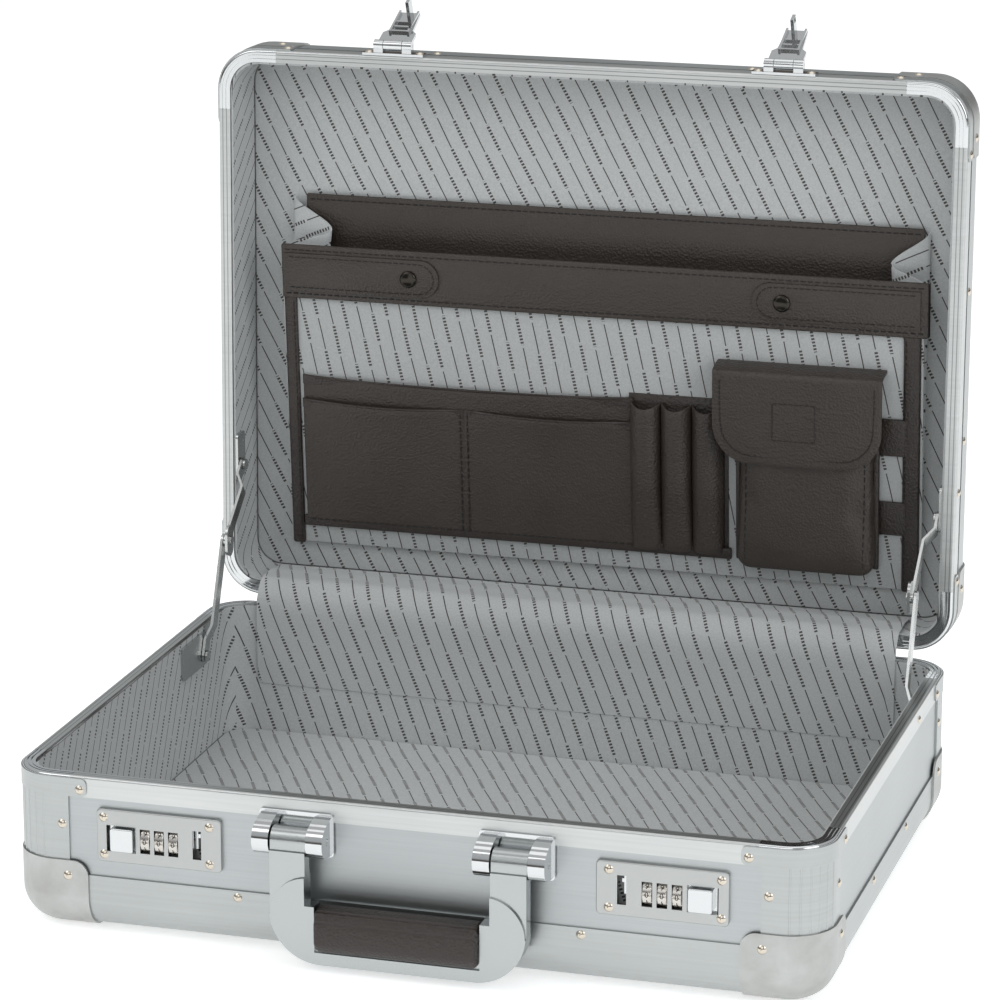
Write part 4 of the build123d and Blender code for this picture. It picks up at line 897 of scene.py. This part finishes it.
edge = [(84.5, 131), (84.5, 118)]
for step in range(0, 91, 18):
    angle = math.radians(step)
    edge.append((104.5 - 19.5 * math.cos(angle), 104 - 19.5 * math.sin(angle)))
edge += [(2 * FLAP_CENTRE - x, z) for x, z in reversed(edge)]
patch = [(117, 95.5), (117, 118.5), (143, 118.5), (143, 95.5), (117, 95.5)]
edge_laid = on_top(flap_cover, edge, 0.15)
patch_laid = on_top(flap_cover, patch, 0.15)
leather_part(flap_cover, on_front)
seam = stitch_row("pouch_flap_edge_seam", edge_laid, 3.6, 2.6, 0.7)
leather_part(seam, on_front, thread)
seam = stitch_row("pouch_flap_square_seam", patch_laid, 3.2, 2.4, 0.6)
leather_part(seam, on_front, thread)
for number, (low, high) in enumerate(((85, 108), (35, 56))):
    tie = rounded("pouch_side_strap_%d" % (number + 1), (176, -4.0, low), (195, -1.7, high), 0.6)
    leather_part(tie, on_front, binding)

# --- Handle grip -----------------------------------------------------------------------------
# Leathercloth stretched over a soft core on the handle's bar. Three ribs are moulded along its
# upper front edge, and the ends are trapped by the frame.
grip_cloth = leathercloth("ribbed_brown_leathercloth", "#2e2723", 0.40)
tree = grip_cloth.node_tree
shader = tree.nodes["Principled BSDF"]
place = add(tree, "TexCoord")
parts = add(tree, "SeparateXYZ", [(place.outputs["Object"], "Vector")])
round_it = add(tree, "Math", [(parts.outputs["Y"], 0), (parts.outputs["Z"], 1)], operation="ADD")
wave = add(tree, "Math", [(round_it.outputs[0], 0)], operation="MULTIPLY", in_1=2 * math.pi / 0.0044)
ribs = add(tree, "Math", [(wave.outputs[0], 0)], operation="SINE")
near = add(tree, "Math", [(round_it.outputs[0], 0)], operation="COMPARE", in_1=-0.1575, in_2=0.0075)
height = add(tree, "Math", [(ribs.outputs[0], 0), (near.outputs[0], 1)], operation="MULTIPLY")
grain_normal = shader.inputs["Normal"].links[0].from_socket
relief = add(tree, "Bump", [(height.outputs[0], "Height"), (grain_normal, "Normal")],
             in_Strength=0.5, in_Distance=0.0006)
tree.links.new(relief.outputs["Normal"], shader.inputs["Normal"])
low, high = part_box("handle_grip")
grip = block("handle_grip_leather", [v * 1000 + 0.5 for v in low], [v * 1000 - 0.5 for v in high])
pick(grip, lambda a, b: abs(a.x - b.x) > 0.01, "EDGE")
bpy.ops.mesh.bevel(offset=0.0058, segments=6)
done()
puff(grip, 0.003, 2.0, 0.0007, low, high)
coat(grip, grip_cloth, "handle")
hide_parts("handle_grip")

# --- Number wheels ---------------------------------------------------------------------------
# Turned and nickel-plated wheels with ten flutes. Plain digits are filled with dark paint between
# the flutes, each bent to the wheel.
wheel_metal = bright("turned_nickel_wheel", "#c9c5bf", 0.18, 0.28)
digit_paint, tree, shader = finish("dark_digit_paint", "#2b2521", 0.0, 0.55)
DIGIT_SIZE = 0.0046
PAINT_LIFT = 0.00006
DIGIT_CUTS = (-0.0012, -0.0006, 0.0, 0.0006, 0.0012)
for hand in ("left", "right"):
    for number in (1, 2, 3):
        wheel = "dial_%s_%d" % (hand, number)
        dress(wheel_metal, wheel)
        low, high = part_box(wheel)
        centre = (low + high) / 2
        radius = (high.z - low.z) / 2
        glyphs = []
        for digit in range(10):
            bpy.ops.object.select_all(action="DESELECT")
            bpy.ops.object.text_add()
            glyph = bpy.context.object
            glyph.data.body = str(digit)
            glyph.data.size = DIGIT_SIZE
            glyph.data.align_x = "CENTER"
            glyph.data.align_y = "CENTER"
            glyph.data.resolution_u = 2
            bpy.ops.object.convert(target="MESH")
            bpy.ops.object.mode_set(mode="EDIT")
            for cut in DIGIT_CUTS:
                bpy.ops.mesh.select_all(action="SELECT")
                bpy.ops.mesh.bisect(plane_co=(0, cut, 0), plane_no=(0, 1, 0))
            bpy.ops.object.mode_set(mode="OBJECT")
            for point in glyph.data.vertices:
                angle = point.co.y / radius - math.radians(36 * digit)
                reach = radius + PAINT_LIFT
                point.co = Vector((centre.x + point.co.x, centre.y - reach * math.cos(angle),
                                   centre.z + reach * math.sin(angle)))
            glyphs.append(glyph)
        bpy.ops.object.select_all(action="DESELECT")
        for glyph in glyphs:
            glyph.select_set(True)
        bpy.context.view_layer.objects.active = glyphs[0]
        bpy.ops.object.join()
        glyphs[0].name = wheel + "_digits"
        coat(glyphs[0], digit_paint, wheel)
